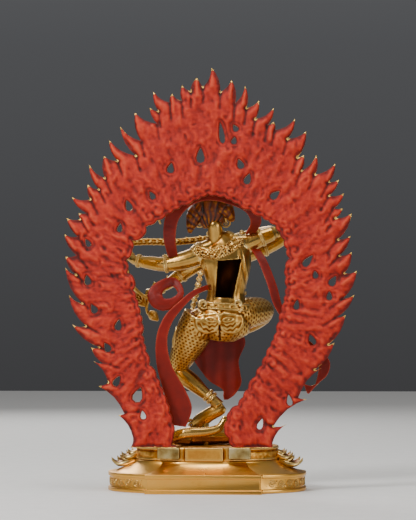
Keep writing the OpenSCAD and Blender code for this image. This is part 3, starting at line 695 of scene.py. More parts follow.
class STATUE_OT_drum(bpy.types.Operator):
    """Drum sloping in one hollow curve, plain at the rear, with two rows of curled lotus petals round the rest"""
    bl_idname = "statue.drum"
    bl_label = "Lotus drum"

    def execute(self, context):
        low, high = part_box("lotus_drum")
        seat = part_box("lotus_seat")
        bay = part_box("plinth")[1].x * 0.574                    # half width of the flat at the rear
        bm = bmesh.new()
        made = bmesh.ops.create_grid(bm, x_segments=288, y_segments=14, size=1)
        for v in made["verts"]:
            angle, t = (v.co.x + 1) * math.pi, (v.co.y + 1) / 2
            foot = oval_reach(angle, high.x, high.y - 4.4 * MM)
            straight = high.y / max(abs(math.sin(angle)), 1e-6)
            if abs(straight * math.cos(angle)) <= bay:
                foot = max(foot, straight)
            top = oval_reach(angle, seat[1].x + 1.0 * MM, seat[1].y - 0.5 * MM)
            r = top + (foot - top) * (1 - t) ** 1.7
            v.co = Vector((r * math.cos(angle), r * math.sin(angle), low.z + (high.z - low.z) * t))
        bmesh.ops.remove_doubles(bm, verts=bm.verts, dist=0.01 * MM)
        bmesh.ops.holes_fill(bm, edges=[e for e in bm.edges if e.is_boundary], sides=0)
        bmesh.ops.recalc_face_normals(bm, faces=bm.faces)
        obj = soften(piece_from(bm, "drum_casting"), 0.5 * MM)
        even_wear(obj, 0.56)
        stand_for(obj, "base", ["lotus_drum"], gilding("Warm_Gilding"))
        a, b = seat[1].x, seat[1].y
        for node, curl in (("petals_lower", 4.2), ("petals_upper", 3.2)):
            source, bm = cad_copy(node), bmesh.new()
            for group in islands(source):
                centre, _ = axes_of([v.co for v in group])
                out = Vector((centre.x / a ** 2, centre.y / b ** 2, 0)).normalized()
                side = Vector((-out.y, out.x, 0))
                reach_out = [(v.co - centre).dot(out) for v in group]
                across = [(v.co - centre).dot(side) for v in group]
                floor, top = min(v.co.z for v in group), max(v.co.z for v in group)
                start, length = min(reach_out), max(reach_out) - min(reach_out)
                half = (max(across) - min(across)) / 2 + 0.4 * MM
                root = centre + out * (start - 1.0 * MM)
                root.z = top - 1.9 * MM
                petal(bm, root, out, length + 1.4 * MM, half, (top - floor) * 0.62, curl * MM)
                root.z += 1.5 * MM
                petal(bm, root, out, length * 0.70, half * 0.62, (top - floor) * 0.36, curl * 0.7 * MM)
            source.free()
            leaves = piece_from(bm, node + "_casting")
            mark_wear(leaves, 1.0, 1)
            stand_for(leaves, "base", [node], gilding("Chased_Gilding"))
        return {"FINISHED"}


class STATUE_OT_seat(bpy.types.Operator):
    """Lotus seat, with rolled rims, and the two raw brass sockets that hold the aureole"""
    bl_idname = "statue.seat"
    bl_label = "Seat and sockets"

    def execute(self, context):
        low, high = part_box("lotus_seat")
        obj = casting("seat_casting", cad_copy("lotus_seat"), 0.62 * MM, 3)
        co, no = coords(obj.data), normals(obj.data)
        z = (co[:, 2] - low.z) / (high.z - low.z)
        side = 1 - step_up(np.abs(no[:, 2]), 0.3, 0.7)
        plain = step_up(np.abs(co[:, 0]), 21.5 * MM, 23 * MM)
        plain = np.where(co[:, 1] > high.y * 0.82, plain, 1.0)
        roll = 0.9 * bump(z - 0.88, 0.07) + 0.7 * bump(z - 0.10, 0.08) - 0.5 * bump(z - 0.72, 0.08)
        lumps = 0.35 * wax(co, 260)
        set_coords(obj.data, co + no * ((roll * plain + lumps * plain * (z < 0.8)) * side * MM)[:, None])
        mark_wear(obj, 0.9)
        stand_for(obj, "base", ["lotus_seat"], gilding("Rough_Gilding"))
        beads = bmesh.new()
        rim = oval((high.x - low.x) / 2 - 0.2 * MM, -low.y - 0.2 * MM, high.z - 1.5 * MM)
        for spot in even_run(rim, RIM_UNIT)[:-1]:
            if not (spot.y > 0 and abs(spot.x) < 39 * MM):
                ball(beads, spot, sizes().pearl, 1)
        ornament(beads, "seat_pearls")
        for node in ("socket_left", "socket_right"):
            block = crisp_copy(node, node + "_block", 0.8 * MM)
            stand_for(block, "base", [node], filed_brass())
        return {"FINISHED"}


# ---- figure -------------------------------------------------------------------------------

def fist(bm, wrist, middle, grip, size):
    """Four fingers and a thumb closed round a rod that runs along grip."""
    s = size * MM * K
    g = grip.normalized()
    out = middle - wrist
    out = (out - g * out.dot(g)).normalized()
    side = g.cross(out)
    bone(bm, wrist, middle - out * 0.3 * s, 0.62 * s, 0.66 * s)
    for i in range(4):
        row = middle + g * (1.5 - i) * 0.42 * s
        knuckles = [row - out * 0.35 * s + side * 0.55 * s, row + out * 0.45 * s + side * 0.62 * s,
                    row + out * 0.85 * s - side * 0.05 * s, row + out * 0.45 * s - side * 0.62 * s,
                    row - out * 0.15 * s - side * 0.5 * s]
        for a, b in zip(knuckles, knuckles[1:]):
            bone(bm, a, b, 0.24 * s, 0.22 * s, 10)
    for a, b in ((middle - out * 0.6 * s + g * 0.5 * s, middle + out * 0.1 * s + g * 0.95 * s - side * 0.45 * s),
                 (middle + out * 0.1 * s + g * 0.95 * s - side * 0.45 * s,
                  middle + out * 0.6 * s + g * 0.55 * s - side * 0.65 * s)):
        bone(bm, a, b, 0.27 * s, 0.24 * s, 10)


FLESH = ("torso", "left_bow_arm", "right_arrow_arm", "left_lotus_arm", "right_goad_arm")
CHAMBER = [(-10.4, 149.6), (-28.8, 151.2), (-21.6, 120.0), (-8.0, 120.8)]     # x, z of the relic chamber


def chamber_block(deep, shallow, grow):
    """The relic chamber's volume, in the figure's millimetres."""
    bm = bmesh.new()
    mx, mz = np.mean(CHAMBER, axis=0)
    corners = [bm.verts.new(at(x + math.copysign(grow, x - mx), deep, z + math.copysign(grow, z - mz)))
               for x, z in CHAMBER]
    face = bm.faces.new(corners)
    made = bmesh.ops.extrude_face_region(bm, geom=[face])
    moved = [v for v in made["geom"] if isinstance(v, bmesh.types.BMVert)]
    bmesh.ops.translate(bm, verts=moved, vec=Vector((0, shallow - deep, 0)) * K * MM)
    bmesh.ops.recalc_face_normals(bm, faces=bm.faces)
    return bm


def cut_away(obj, bm):
    """Cuts the bmesh's volume out of the object."""
    tool = piece_from(bm, "tool")
    mod = obj.modifiers.new("Cut", "BOOLEAN")
    mod.operation = "DIFFERENCE"
    mod.solver = "MANIFOLD"
    mod.object = tool
    settle(obj)
    bpy.data.objects.remove(tool)


def split_casting(obj, nodes):
    """Parts one skin into closed pieces, each the part nearest its CAD node."""
    mesh = obj.data
    co, pairs = coords(mesh), edge_pairs(mesh)
    far = []
    for node in nodes:
        bm = cad_copy(node)
        tree = BVHTree.FromBMesh(bm)
        far.append(np.array([tree.find_nearest(Vector(c))[3] for c in co]))
        bm.free()
    far = np.array(far).T
    for _ in range(10):
        far = 0.4 * far + 0.6 * spread(far, pairs)
    owner = far.argmin(1)
    out = []
    for i, node in enumerate(nodes):
        bm = bmesh.new()
        bm.from_mesh(mesh)
        bm.verts.ensure_lookup_table()
        others = []
        for f in bm.faces:
            mine = 2 * sum(owner[v.index] == i for v in f.verts) - len(f.verts)
            if mine < 0 or (mine == 0 and owner[f.verts[0].index] != i):
                others.append(f)
        bmesh.ops.delete(bm, geom=others, context="FACES")
        groups = islands(bm)
        biggest = max(len(g) for g in groups)
        loose = [v for g in groups if len(g) < biggest * 0.2 for v in g]
        bmesh.ops.delete(bm, geom=loose, context="VERTS")
        edge = [e for e in bm.edges if e.is_boundary]
        for e in edge:
            e.smooth = False
        filled = bmesh.ops.holes_fill(bm, edges=edge, sides=0)
        bmesh.ops.triangulate(bm, faces=filled["faces"])
        piece = piece_from(bm, node + "_casting", smooth=False)
        piece.data.polygons.foreach_set("use_smooth", [True] * len(piece.data.polygons))
        out.append(piece)
    bpy.data.objects.remove(obj)
    return out


class STATUE_OT_flesh(bpy.types.Operator):
    """Torso and four arms, cast as one skin and parted at the shoulders, with the relic chamber in the back"""
    bl_idname = "statue.flesh"
    bl_label = "Torso and arms"

    def execute(self, context):
        bm = cad_copy(*FLESH)
        block = chamber_block(9, 21.5, 1.5)
        filler = bpy.data.meshes.new("filler")
        block.to_mesh(filler)
        block.free()
        bm.from_mesh(filler)
        bpy.data.meshes.remove(filler)
        for a, b, ra, rb in (((0, 11, 156), (16, 12, 151.3), 6.8, 6.6), ((-24, 11, 161), (-40, 11, 167), 7.2, 6.4),
                             ((0, 6, 152), (16, 0.5, 143), 5.2, 5), ((-26, 5, 154), (-42, -3, 159.5), 6, 5.2),
                             ((-5, 14, 163), (8, 13, 158), 6, 6), ((-20, 14, 165), (-32, 13, 166), 6, 6),
                             ((-54, 8, 173), (-54, 4, 174), 5.2, 5.2), ((-8, 14, 166), (-7.2, 17.5, 179), 6.4, 6.0)):
            bone(bm, at(*a), at(*b), ra * MM * K, rb * MM * K)
        fist(bm, at(62, 0, 155), at(69, -7, 159.5), Vector((0.1, 0, 1)), 4.6)
        fist(bm, at(-24, -15, 171), at(-15.5, -17, 170), Vector((0, 0.15, 1)), 4.2)
        fist(bm, at(42, -8, 127), at(48, -9, 124), Vector((-0.25, 0, 1)), 4.2)
        fist(bm, at(-71, -7, 181), at(-74, -7, 187), Vector((0.0, -1, 0.15)), 4.2)
        skin = casting("flesh", bm, sizes().flesh_voxel * K, 6)
        co = coords(skin.data)
        hands = [np.linalg.norm(co - np.array(at(*p)), axis=1) / (MM * K)
                 for p in ((69, -7, 159.5), (-15, -17, 170), (48, -9, 124), (-74, -7, 187))]
        smooth_casting(skin.data, 110, 1 - step_up(np.min(hands, axis=0), 6.5, 9))
        sculpt(skin, self.anatomy)
        cut_away(skin, chamber_block(8, 40, 0.25))
        skin_mat = gilding("Burnished_Gilding")
        for obj, node in zip(split_casting(skin, FLESH), FLESH):
            mark_wear(obj, 0.9)
            if node == "torso":
                # Painted shade: the inside of the relic chamber is made dark.
                self.paint_chamber_shade(obj)
            stand_for(obj, "figure", [node], skin_mat)
        return {"FINISHED"}

    @staticmethod
    def paint_chamber_shade(obj):
        """Paints the inside of the chamber dark, as painted shade in the hollow."""
        co = coords(obj.data)
        own = np.c_[co[:, 0], co[:, 1], co[:, 2] - SEAT] / (MM * K)
        corners = np.array(CHAMBER)
        mid = corners.mean(0)
        inside = (own[:, 1] > 7.6) & (own[:, 1] < 29)
        for a, b in zip(corners, np.roll(corners, -1, 0)):
            way = b - a
            out = np.array([way[1], -way[0]]) / np.hypot(*way)
            if ((a - mid) * out).sum() < 0:
                out = -out
            inside &= ((own[:, [0, 2]] - a) * out).sum(1) < 0.36
        values = np.zeros(len(co), np.float32)
        obj.data.attributes["wear_and_painted_light"].data.foreach_get("value", values)
        # The chamber's vertices get 0.15, a painted shade in the gilding's darkest stops.
        mark(obj, "wear_and_painted_light", np.where(inside, 0.15, values))

    @staticmethod
    def anatomy(x, y, z, no):
        back = step_up(no[:, 1], 0.0, 0.5)
        front = step_up(-no[:, 1], 0.0, 0.5)
        chest = np.hypot((x + 22) / 9, (z - 150) / 7), np.hypot((x + 5) / 9, (z - 148) / 7)
        out = front * (0.9 * bump(chest[0], 1.0) + 0.9 * bump(chest[1], 1.0))
        out -= front * 0.5 * bump(x + 13.5, 1.2) * step_up(z, 126, 134) * (1 - step_up(z, 152, 158))
        out -= front * 1.1 * bump(np.hypot(x + 15, z - 121), 1.3)
        blade = np.hypot((x + 29) / 5, (z - 153) / 9), np.hypot((x - 1) / 5, (z - 147) / 8)
        out += back * (0.7 * bump(blade[0], 1.0) + 0.6 * bump(blade[1], 1.0))
        fold = x + 32 - 0.22 * (z - 135)
        out -= back * 0.5 * bump(fold, 1.1) * step_up(z, 118, 126) * (1 - step_up(z, 152, 160))
        out += back * 0.35 * bump(fold + 2.6, 1.1) * step_up(z, 118, 126) * (1 - step_up(z, 156, 164))
        return out


# Half of the face's raised lines: out from its middle, y and z at each end, and the radius.
FACE_LINES = (
    ((1.5, -5.3, 193.0), (3.9, -5.2, 194.0), 0.62), ((3.9, -5.2, 194.0), (6.6, -3.3, 193.2), 0.55),     # brow
    ((1.8, -5.0, 190.4), (3.9, -5.5, 191.4), 0.42), ((3.9, -5.5, 191.4), (6.1, -3.8, 190.6), 0.42),     # upper lid
    ((2.0, -5.0, 189.5), (4.0, -5.3, 188.6), 0.36), ((4.0, -5.3, 188.6), (6.0, -3.9, 189.4), 0.36),     # lower lid
    ((0.0, -6.6, 182.1), (2.6, -5.2, 181.7), 0.62), ((0.0, -6.4, 180.8), (2.2, -5.2, 181.1), 0.72),     # lips
)


class STATUE_OT_head(bpy.types.Operator):
    """Head with a calm, plain face"""
    bl_idname = "statue.head"
    bl_label = "Head"

    def execute(self, context):
        bm = cad_copy("head")
        s = MM * K
        bone(bm, at(-5, -4.2, 192), at(-5, -6.9, 185.6), 0.9 * s, 1.15 * s)
        ball(bm, at(-5, -6.9, 185.3), 1.2 * s)
        bone(bm, at(-5, -5.4, 181.9), at(-5, -5.0, 181.9), 1.2 * s, 1.1 * s)
        ball(bm, at(-5, -2.6, 178.2), 3.0 * s)
        for side in (-1, 1):
            eye = -5 + side * 3.9
            ball(bm, at(eye, -3.6, 190), 1.95 * s)
            ball(bm, at(-5 + side * 1.35, -5.6, 185.1), 0.85 * s)
            ball(bm, at(-5 + side * 4.6, -0.6, 185.4), 4.3 * s)
            for a, b, r in FACE_LINES:
                bone(bm, at(-5 + side * a[0], *a[1:]), at(-5 + side * b[0], *b[1:]), r * s, r * s, 10)
            bone(bm, at(-5 + side * 9.2, 6, 191.5), at(-5 + side * 10.0, 6.8, 188), 1.5 * s, 1.6 * s)
            bone(bm, at(-5 + side * 10.0, 6.8, 188), at(-5 + side * 10.3, 6.2, 183.4), 1.4 * s, 1.1 * s)
        obj = casting("head_casting", bm, sizes().fine_voxel * K, 5)
        mark_wear(obj, 0.8)
        stand_for(obj, "figure", ["head"], gilding("Burnished_Gilding"))
        return {"FINISHED"}


class STATUE_OT_hair(bpy.types.Operator):
    """Hair in combed strands, drawn up to a point, and the five-leaved crown"""
    bl_idname = "statue.hair"
    bl_label = "Hair and crown"

    def execute(self, context):
        s = MM * K
        hair = casting("hair_casting", cad_copy("hair"), 0.42 * s, 4)
        sculpt(hair, self.strands)
        mark_wear(hair, 1.3, 1)
        stand_for(hair, "figure", ["hair"], combed_hair_in_painted_shade())
        bm = cad_copy("crown")
        crown = casting("crown_casting", bm, 0.3 * s, 2)
        bm = bmesh.new()
        bm.from_mesh(crown.data)
        for a in (-68, -34, 0, 34, 68):
            out = Vector((math.sin(math.radians(a)), -math.cos(math.radians(a)), 0))
            foot = at(-5, 7, 195)
            for lift, r in ((3.0, 1.25), (6.2, 0.95), (9.0, 0.7), (0.2, 0.7)):
                ball(bm, foot + out * (12.0 * s) + Vector((0, 0, (lift + 1.8) * s)), r * s, 2)
            for turn in (-12, -6, 6, 12):
                swing = Vector((math.sin(math.radians(a + turn)), -math.cos(math.radians(a + turn)), 0))
                ball(bm, foot + swing * (12.2 * s) + Vector((0, 0, (1.0 + 0.02 * turn) * s)), 0.6 * s, 1)
        jewels = piece_from(bm, "crown_jewels")
        bpy.data.objects.remove(crown)
        mark_wear(jewels, 0.8)
        stand_for(jewels, "figure", ["crown"], gilding("Chased_Gilding"))
        return {"FINISHED"}

    @staticmethod
    def strands(x, y, z, no):
        """Strands fan out from the nape at the back, and climb round the topknot elsewhere."""
        fan = np.arctan2(z - 172, x + 4)
        round_head = np.arctan2(y - 12, x + 4)
        back = step_up(no[:, 1], 0.1, 0.6) * (1 - step_up(z, 203, 209))
        comb = back * np.abs(np.sin(fan * 12 + 0.25 * np.sin(z * 0.5))) \
            + (1 - back) * np.abs(np.sin(round_head * 9 + z * 0.10))
        locks = back * np.sin(fan * 4) + (1 - back) * np.sin(round_head * 3 + z * 0.1)
        knot = -1.2 * bump(z - 208, 1.4) + 0.7 * bump(z - 211, 1.2) + 0.7 * bump(z - 205, 1.2)
        return 0.75 * comb - 0.35 + 0.25 * locks + knot


class STATUE_OT_trousers(bpy.types.Operator):
    """Trousers punched with rows of dashes, with a beast's face modelled over the seat"""
    bl_idname = "statue.trousers"
    bl_label = "Trousers"

    def execute(self, context):
        bm = cad_copy("tiger_trousers")
        s = MM * K
        bone(bm, at(-2, 12, 101), at(8, 11, 96), 14.4 * s, 14.0 * s)
        bone(bm, at(-22, 11, 103), at(-30, 7, 106), 13.4 * s, 12.8 * s)
        obj = casting("trousers_casting", bm, 0.5 * s, 70)
        sculpt(obj, self.face_of_beast)

        def punched(x, y, z, no):
            lobes = np.minimum(np.hypot(x + 21, z - 101), np.hypot(x + 2, z - 101))
            plain = np.where(no[:, 1] > 0, step_up(lobes, 10.4, 11.2), 1.0) * step_up(z, 58, 62)
            return -0.40 * plain * self.dashes(x, y, z)
        sculpt(obj, punched)
        bm = cad_copy("tiger_trousers")
        tree = BVHTree.FromBMesh(bm)
        bm.free()
        rim = []
        for a in np.linspace(0, math.tau, 28, endpoint=False):
            climb = 8.5 * math.sin(a)
            rim.append(tree.find_nearest(at(29.5 + 3.2 * math.cos(a) - 0.10 * climb, 13, 89 + climb))[0])
        bm = bmesh.new()
        bm.from_mesh(obj.data)
        bm.from_mesh(wire("slit", [rim], 0.95 * s, closed=True))
        bm.to_mesh(obj.data)
        bm.free()
        mark_wear(obj, 1.5, 1)
        stand_for(obj, "figure", ["tiger_trousers"], gilding("Satin_Gilding"))
        return {"FINISHED"}

    @staticmethod
    def face_of_beast(x, y, z, no):
        back = step_up(no[:, 1], 0.15, 0.5)
        out = np.zeros(len(x))
        for cx, way in ((-21.0, 1), (-2.0, -1)):
            r = np.hypot(x - cx, z - 101)
            lobe_in = 1 - step_up(r, 8.6, 9.6)
            out += 0.45 * bump(r - 9.5, 0.7) + 0.4 * lobe_in
            fur = np.sin(1.9 * np.hypot(x - cx - way * 3, (z - 106)) + 0.9 * np.sin(1.3 * (x - cx)))
            out += 0.20 * fur * lobe_in * (1 - step_up(z, 98, 101))
            u, v = (x - cx - way * 2.6) / 3.6, (z - 102.6 + 0.15 * (x - cx) * way) / 1.55
            eye = np.hypot(u, v)
            out += 0.38 * bump(eye - 1.0, 0.28) + 0.35 * bump(eye, 0.35)
            brow = z - 106.4 - 0.12 * (x - cx) * way
            out += 0.35 * bump(brow, 0.8) * lobe_in
        out += 1.0 * bump(np.hypot((x + 11.5) / 1.8, (z - 101) / 1.5), 1.0)
        out += 0.5 * bump(np.hypot((x + 11.5) / 1.0, (z - 106) / 3.2), 1.0)
        out -= 0.8 * bump(x + 11.5, 1.0) * (1 - step_up(z, 97, 99))
        return out * back

    @staticmethod
    def dashes(x, y, z):
        """Rows of short dashes along each thigh, staggered row by row; 1 in a dash."""
        near, out = np.full(len(x), 1e9), np.zeros(len(x))
        for a, b in (((6, 12, 104), (25, -1, 60)), ((-20, 12, 104), (-49, -15, 110))):
            a, b = np.array(a, float), np.array(b, float)
            way = (b - a) / np.linalg.norm(b - a)
            rel = np.c_[x, y, z] - a
            u = rel @ way
            side = np.cross(way, [0, 1, 0])
            side /= np.linalg.norm(side)
            up = np.cross(way, side)
            away = np.hypot(rel @ side, rel @ up)
            v = np.arctan2(rel @ side, rel @ up) * 12.5
            row = np.floor(u / 2.5)
            du = (u / 2.5 - row - 0.5) * 2.5
            dv = ((v / 3.14 + 0.5 * (row % 2)) % 1 - 0.5) * 3.14
            dash = np.exp(-(du / 0.5) ** 2 - (dv / 0.75) ** 4)
            out = np.where(away < near, dash, out)
            near = np.minimum(away, near)
        return out


class STATUE_OT_legs(bpy.types.Operator):
    """Bare shins and feet below the trousers"""
    bl_idname = "statue.legs"
    bl_label = "Shins and feet"

    def execute(self, context):
        s = MM * K
        skin_mat = gilding("Burnished_Gilding")
        toes = {"left_shin": ((11, -2, 16.4), (4.4, -2.0, -3.6), (4.6, 0.4, 7.0)),
                "right_shin": ((-6.2, -25, 72.5), (0.5, -1.6, -5.2), (6.4, 1.0, 0.3))}
        for node, (ball_of_foot, way, across) in toes.items():
            bm = cad_copy(node)
            start, way, across = Vector(ball_of_foot), Vector(way), Vector(across)
            for i in range(5):
                root = start + across * (i / 4 - 0.5) * 1.25
                length = 1.0 - 0.10 * i
                size = (1.45 if i == 0 else 1.12 - 0.05 * i)
                bone(bm, at(*root), at(*(root + way * length)), size * s * 1.05, size * s)
            obj = casting(node + "_casting", bm, 0.42 * s, 4)
            co = coords(obj.data)
            tip = np.linalg.norm(co - np.array(at(*(start + way * 0.5))), axis=1) / s
            smooth_casting(obj.data, 90, 1 - step_up(tip, 7, 10))
            mark_wear(obj, 0.9)
            stand_for(obj, "figure", [node], skin_mat)
        return {"FINISHED"}


def snap(node):
    """A function that puts a point onto a CAD node's surface, and gives the surface's direction there."""
    bm = cad_copy(node)
    tree = BVHTree.FromBMesh(bm)
    bm.free()
    return lambda p: tree.find_nearest(p)[:2]


def rosette(bm, centre, face, radius, petals=6):
    """A flower: round petals about a pearl."""
    turn = face.to_track_quat("Z", "Y").to_matrix()
    ball(bm, centre + face * radius * 0.35, radius * 0.36, 1)
    for i in range(petals):
        a = math.tau * i / petals
        ball(bm, centre + turn @ Vector((math.cos(a), math.sin(a), 0.1)) * radius * 0.68, radius * 0.34, 1)


def leaf(bm, centre, face, way, length):
    """A pointed leaf lying on the surface."""
    for t, r in ((-0.4, 0.16), (-0.1, 0.24), (0.2, 0.2), (0.5, 0.1)):
        ball(bm, centre + way * length * t + face * length * 0.05, length * r, 1)


COLLAR = [(-6, 24, 156), (-26, 20, 163), (-25, 11, 170), (-20, 2, 164), (-8, -1, 152), (0, 3, 158), (5, 12, 164),
          (4, 19, 160)]


class STATUE_OT_collar(bpy.types.Operator):
    """Collar of flowers and leaves with a beaded edge, below two roped neck rings"""
    bl_idname = "statue.collar"
    bl_label = "Collar and neck rings"

    def execute(self, context):
        s = MM * K
        bm = cad_copy("flower_collar")
        on = snap("flower_collar")
        run = even_run([at(*p) for p in COLLAR], 4.6 * s, closed=True)
        middle = at(-9, 11, 161)
        for i, p in enumerate(run[:-1]):
            out = (p - middle).normalized()
            spot, face = on(p + out * 8 * s + Vector((0, 0, -1.5 * s)))
            way = (run[i + 1] - p).normalized()
            rosette(bm, spot - face * 0.2 * s, face, 2.1 * s)
            for tilt in (1, -1):
                low = spot + way * 2.3 * s + face.cross(way) * tilt * 1.9 * s
                spot2, face2 = on(low)
                leaf(bm, spot2, face2, (way + face.cross(way) * tilt * 0.6).normalized(), 2.6 * s)
        skin = cad_copy("torso", "left_bow_arm", "right_arrow_arm")
        shoulders = BVHTree.FromBMesh(skin)
        skin.free()
        for reach_x, reach_z, gap, kind in ((14.0, 9.6, 3.4, "leaf"), (18.0, 12.8, 5.0, "flower"),
                                            (21.5, 15.6, 3.4, "leaf"), (23.0, 17.2, 1.9, "pearl")):
            sweep = np.linspace(math.radians(190), math.radians(350), 14)
            arc = even_run([(-10 + reach_x * math.cos(a), 0, 170 + reach_z * math.sin(a) - 0.20 * reach_x * math.cos(a))
                            for a in sweep], gap)
            for i, p in enumerate(arc):
                spot, face, _, _ = shoulders.ray_cast(at(p.x, 60, p.z), Vector((0, -1, 0)))
                if spot is None or face.y < 0.1:
                    continue
                way = (arc[min(i + 1, len(arc) - 1)] - arc[max(i - 1, 0)]).normalized()
                if kind == "flower":
                    rosette(bm, spot + face * 0.9 * s, face, 2.5 * s)
                elif kind == "leaf":
                    tilt = face.cross(way) * (0.8 if i % 2 else -0.8)
                    leaf(bm, spot + face * 0.5 * s, face, (way + tilt).normalized(), 3.4 * s)
                    ball(bm, spot + face * 0.1 * s, 1.5 * s, 1)
                else:
                    ball(bm, spot + face * 0.3 * s, 0.95 * s, 1)
                ball(bm, spot - face * 0.7 * s, 1.8 * s, 1)
        obj = casting("collar_casting", bm, 0.34 * s, 1)
        sculpt(obj, lambda x, y, z, no: 0.22 * np.sin(x * 2.4) * np.sin(y * 2.4 + 1) * np.sin(z * 2.4 + 2))
        mark_wear(obj, 1.5, 2)
        chased = gilding("Chased_Gilding")
        stand_for(obj, "figure", ["flower_collar"], chased)
        bm = cad_copy("neck_rings")
        rope = bmesh.new()
        for group in islands(bm):
            centre, (_, _, axis) = axes_of([v.co for v in group])
            reach_out = [(v.co - centre - axis * (v.co - centre).dot(axis)).length for v in group]
            radius, thick = (max(reach_out) + min(reach_out)) / 2, (max(reach_out) - min(reach_out)) / 2
            twist(rope, centre, axis, radius, thick, 26)
        bm.free()
        rings = piece_from(rope, "neck_ropes")
        mark_wear(rings, 1.0)
        stand_for(rings, "figure", ["neck_rings"], chased)
        return {"FINISHED"}


def twist(bm, centre, axis, radius, thick, turns):
    """A ring of two twisted wires."""
    turn = axis.to_track_quat("Z", "Y").to_matrix()
    paths = []
    for start in (0, math.pi):
        path = []
        for t in np.linspace(0, math.tau, turns * 8, endpoint=False):
            a = turns * t + start
            r = radius + 0.42 * thick * math.cos(a)
            path.append(centre + turn @ Vector((r * math.cos(t), r * math.sin(t), 0.42 * thick * math.sin(a))))
        paths.append(path)
    bm.from_mesh(wire("rope", paths, 0.58 * thick, closed=True))


class STATUE_OT_belt(bpy.types.Operator):
    """Pierced belt with two curled hooks at the back"""
    bl_idname = "statue.belt"
    bl_label = "Belt"

    def execute(self, context):
        s = MM * K
        bm = cad_copy("belt")
        obj = casting("belt_casting", bm, 0.36 * s, 2)

        def pierced(x, y, z, no):
            a = np.arctan2((y - 12) / 14, (x + 15) / 21)
            side = 1 - step_up(np.abs(no[:, 2]), 0.5, 0.85)
            cell = np.abs(((a * 11 / math.pi) % 1) - 0.5) * 2
            middle = 113 + 1.5 * np.cos(a)
            hole = np.hypot(cell / 0.45, (z - middle) / 1.0)
            edge = 0.45 * bump(np.abs(z - middle) - 2.5, 0.5)
            return side * (edge - 0.8 * bump(hole, 0.8))
        sculpt(obj, pierced)
        bm = bmesh.new()
        bm.from_mesh(obj.data)
        bpy.data.objects.remove(obj)
        hooks = []
        for x, way in ((-25.5, -1), (1.5, 1)):
            hooks.append([at(x + way * (0.8 + 2.7 * math.cos(t)) * (1 - 0.05 * t), 26.2 - 0.1 * t,
                             115.3 + 2.9 * math.sin(t) * (1 - 0.05 * t)) for t in np.linspace(-0.9, 4.4, 24)])
            for k in range(3):
                ball(bm, at(x + way * (4 - k * 0.9), 25.6, 110.4 - k * 0.9), 1.1 * s, 1)
        bm.from_mesh(wire("hooks", hooks, 1.0 * s, taper=lambda t: 1.15 - 0.5 * t))
        belt = piece_from(bm, "belt_and_hooks")
        mark_wear(belt, 1.1, 2)
        stand_for(belt, "figure", ["belt"], gilding("Chased_Gilding"))
        return {"FINISHED"}


GARLAND = [(4, 19, 140), (7, 10, 128), (12, -6, 110), (9, -14, 94), (-4, -18, 84), (-18, -14, 87), (-29, -13, 98),
           (-30, -8, 116), (-29, -2, 132), (-28, 1, 146)]


class STATUE_OT_garland(bpy.types.Operator):
    """Long garland of round bosses and pearls, with a cluster of flowers below the arm"""
    bl_idname = "statue.garland"
    bl_label = "Garland"

    def execute(self, context):
        s = MM * K
        bm = bmesh.new()
        path = even_run([at(*p) for p in GARLAND], 2.8 * s)
        for i, p in enumerate(path):
            if i % 2 == 0:
                ball(bm, p, 2.35 * s, 2)
                out = Vector((p.x + 13 * s, p.y - 12 * s, 0)).normalized()
                for j in range(5):
                    a = math.tau * j / 5
                    side = Vector((-out.y, out.x, 0))
                    ball(bm, p + out * 1.9 * s + (side * math.cos(a) + Vector((0, 0, 1)) * math.sin(a)) * 1.3 * s,
                         0.75 * s, 1)
                ball(bm, p + out * 2.5 * s, 0.8 * s, 1)
            else:
                ball(bm, p, 1.35 * s, 1)
        bm.from_mesh(wire("cord", [path], 0.8 * s))
        for x, y, z, r in ((5, 17, 136, 2.6), (7, 13, 131, 2.8), (4, 15, 127, 2.4), (8, 9, 125, 2.4)):
            rosette(bm, at(x, y, z), Vector((0.5, 0.85, 0.1)).normalized(), r * s)
        obj = piece_from(bm, "garland_bosses")
        mark_wear(obj, 0.8)
        stand_for(obj, "figure", ["long_garland"], gilding("Chased_Gilding"))
        return {"FINISHED"}


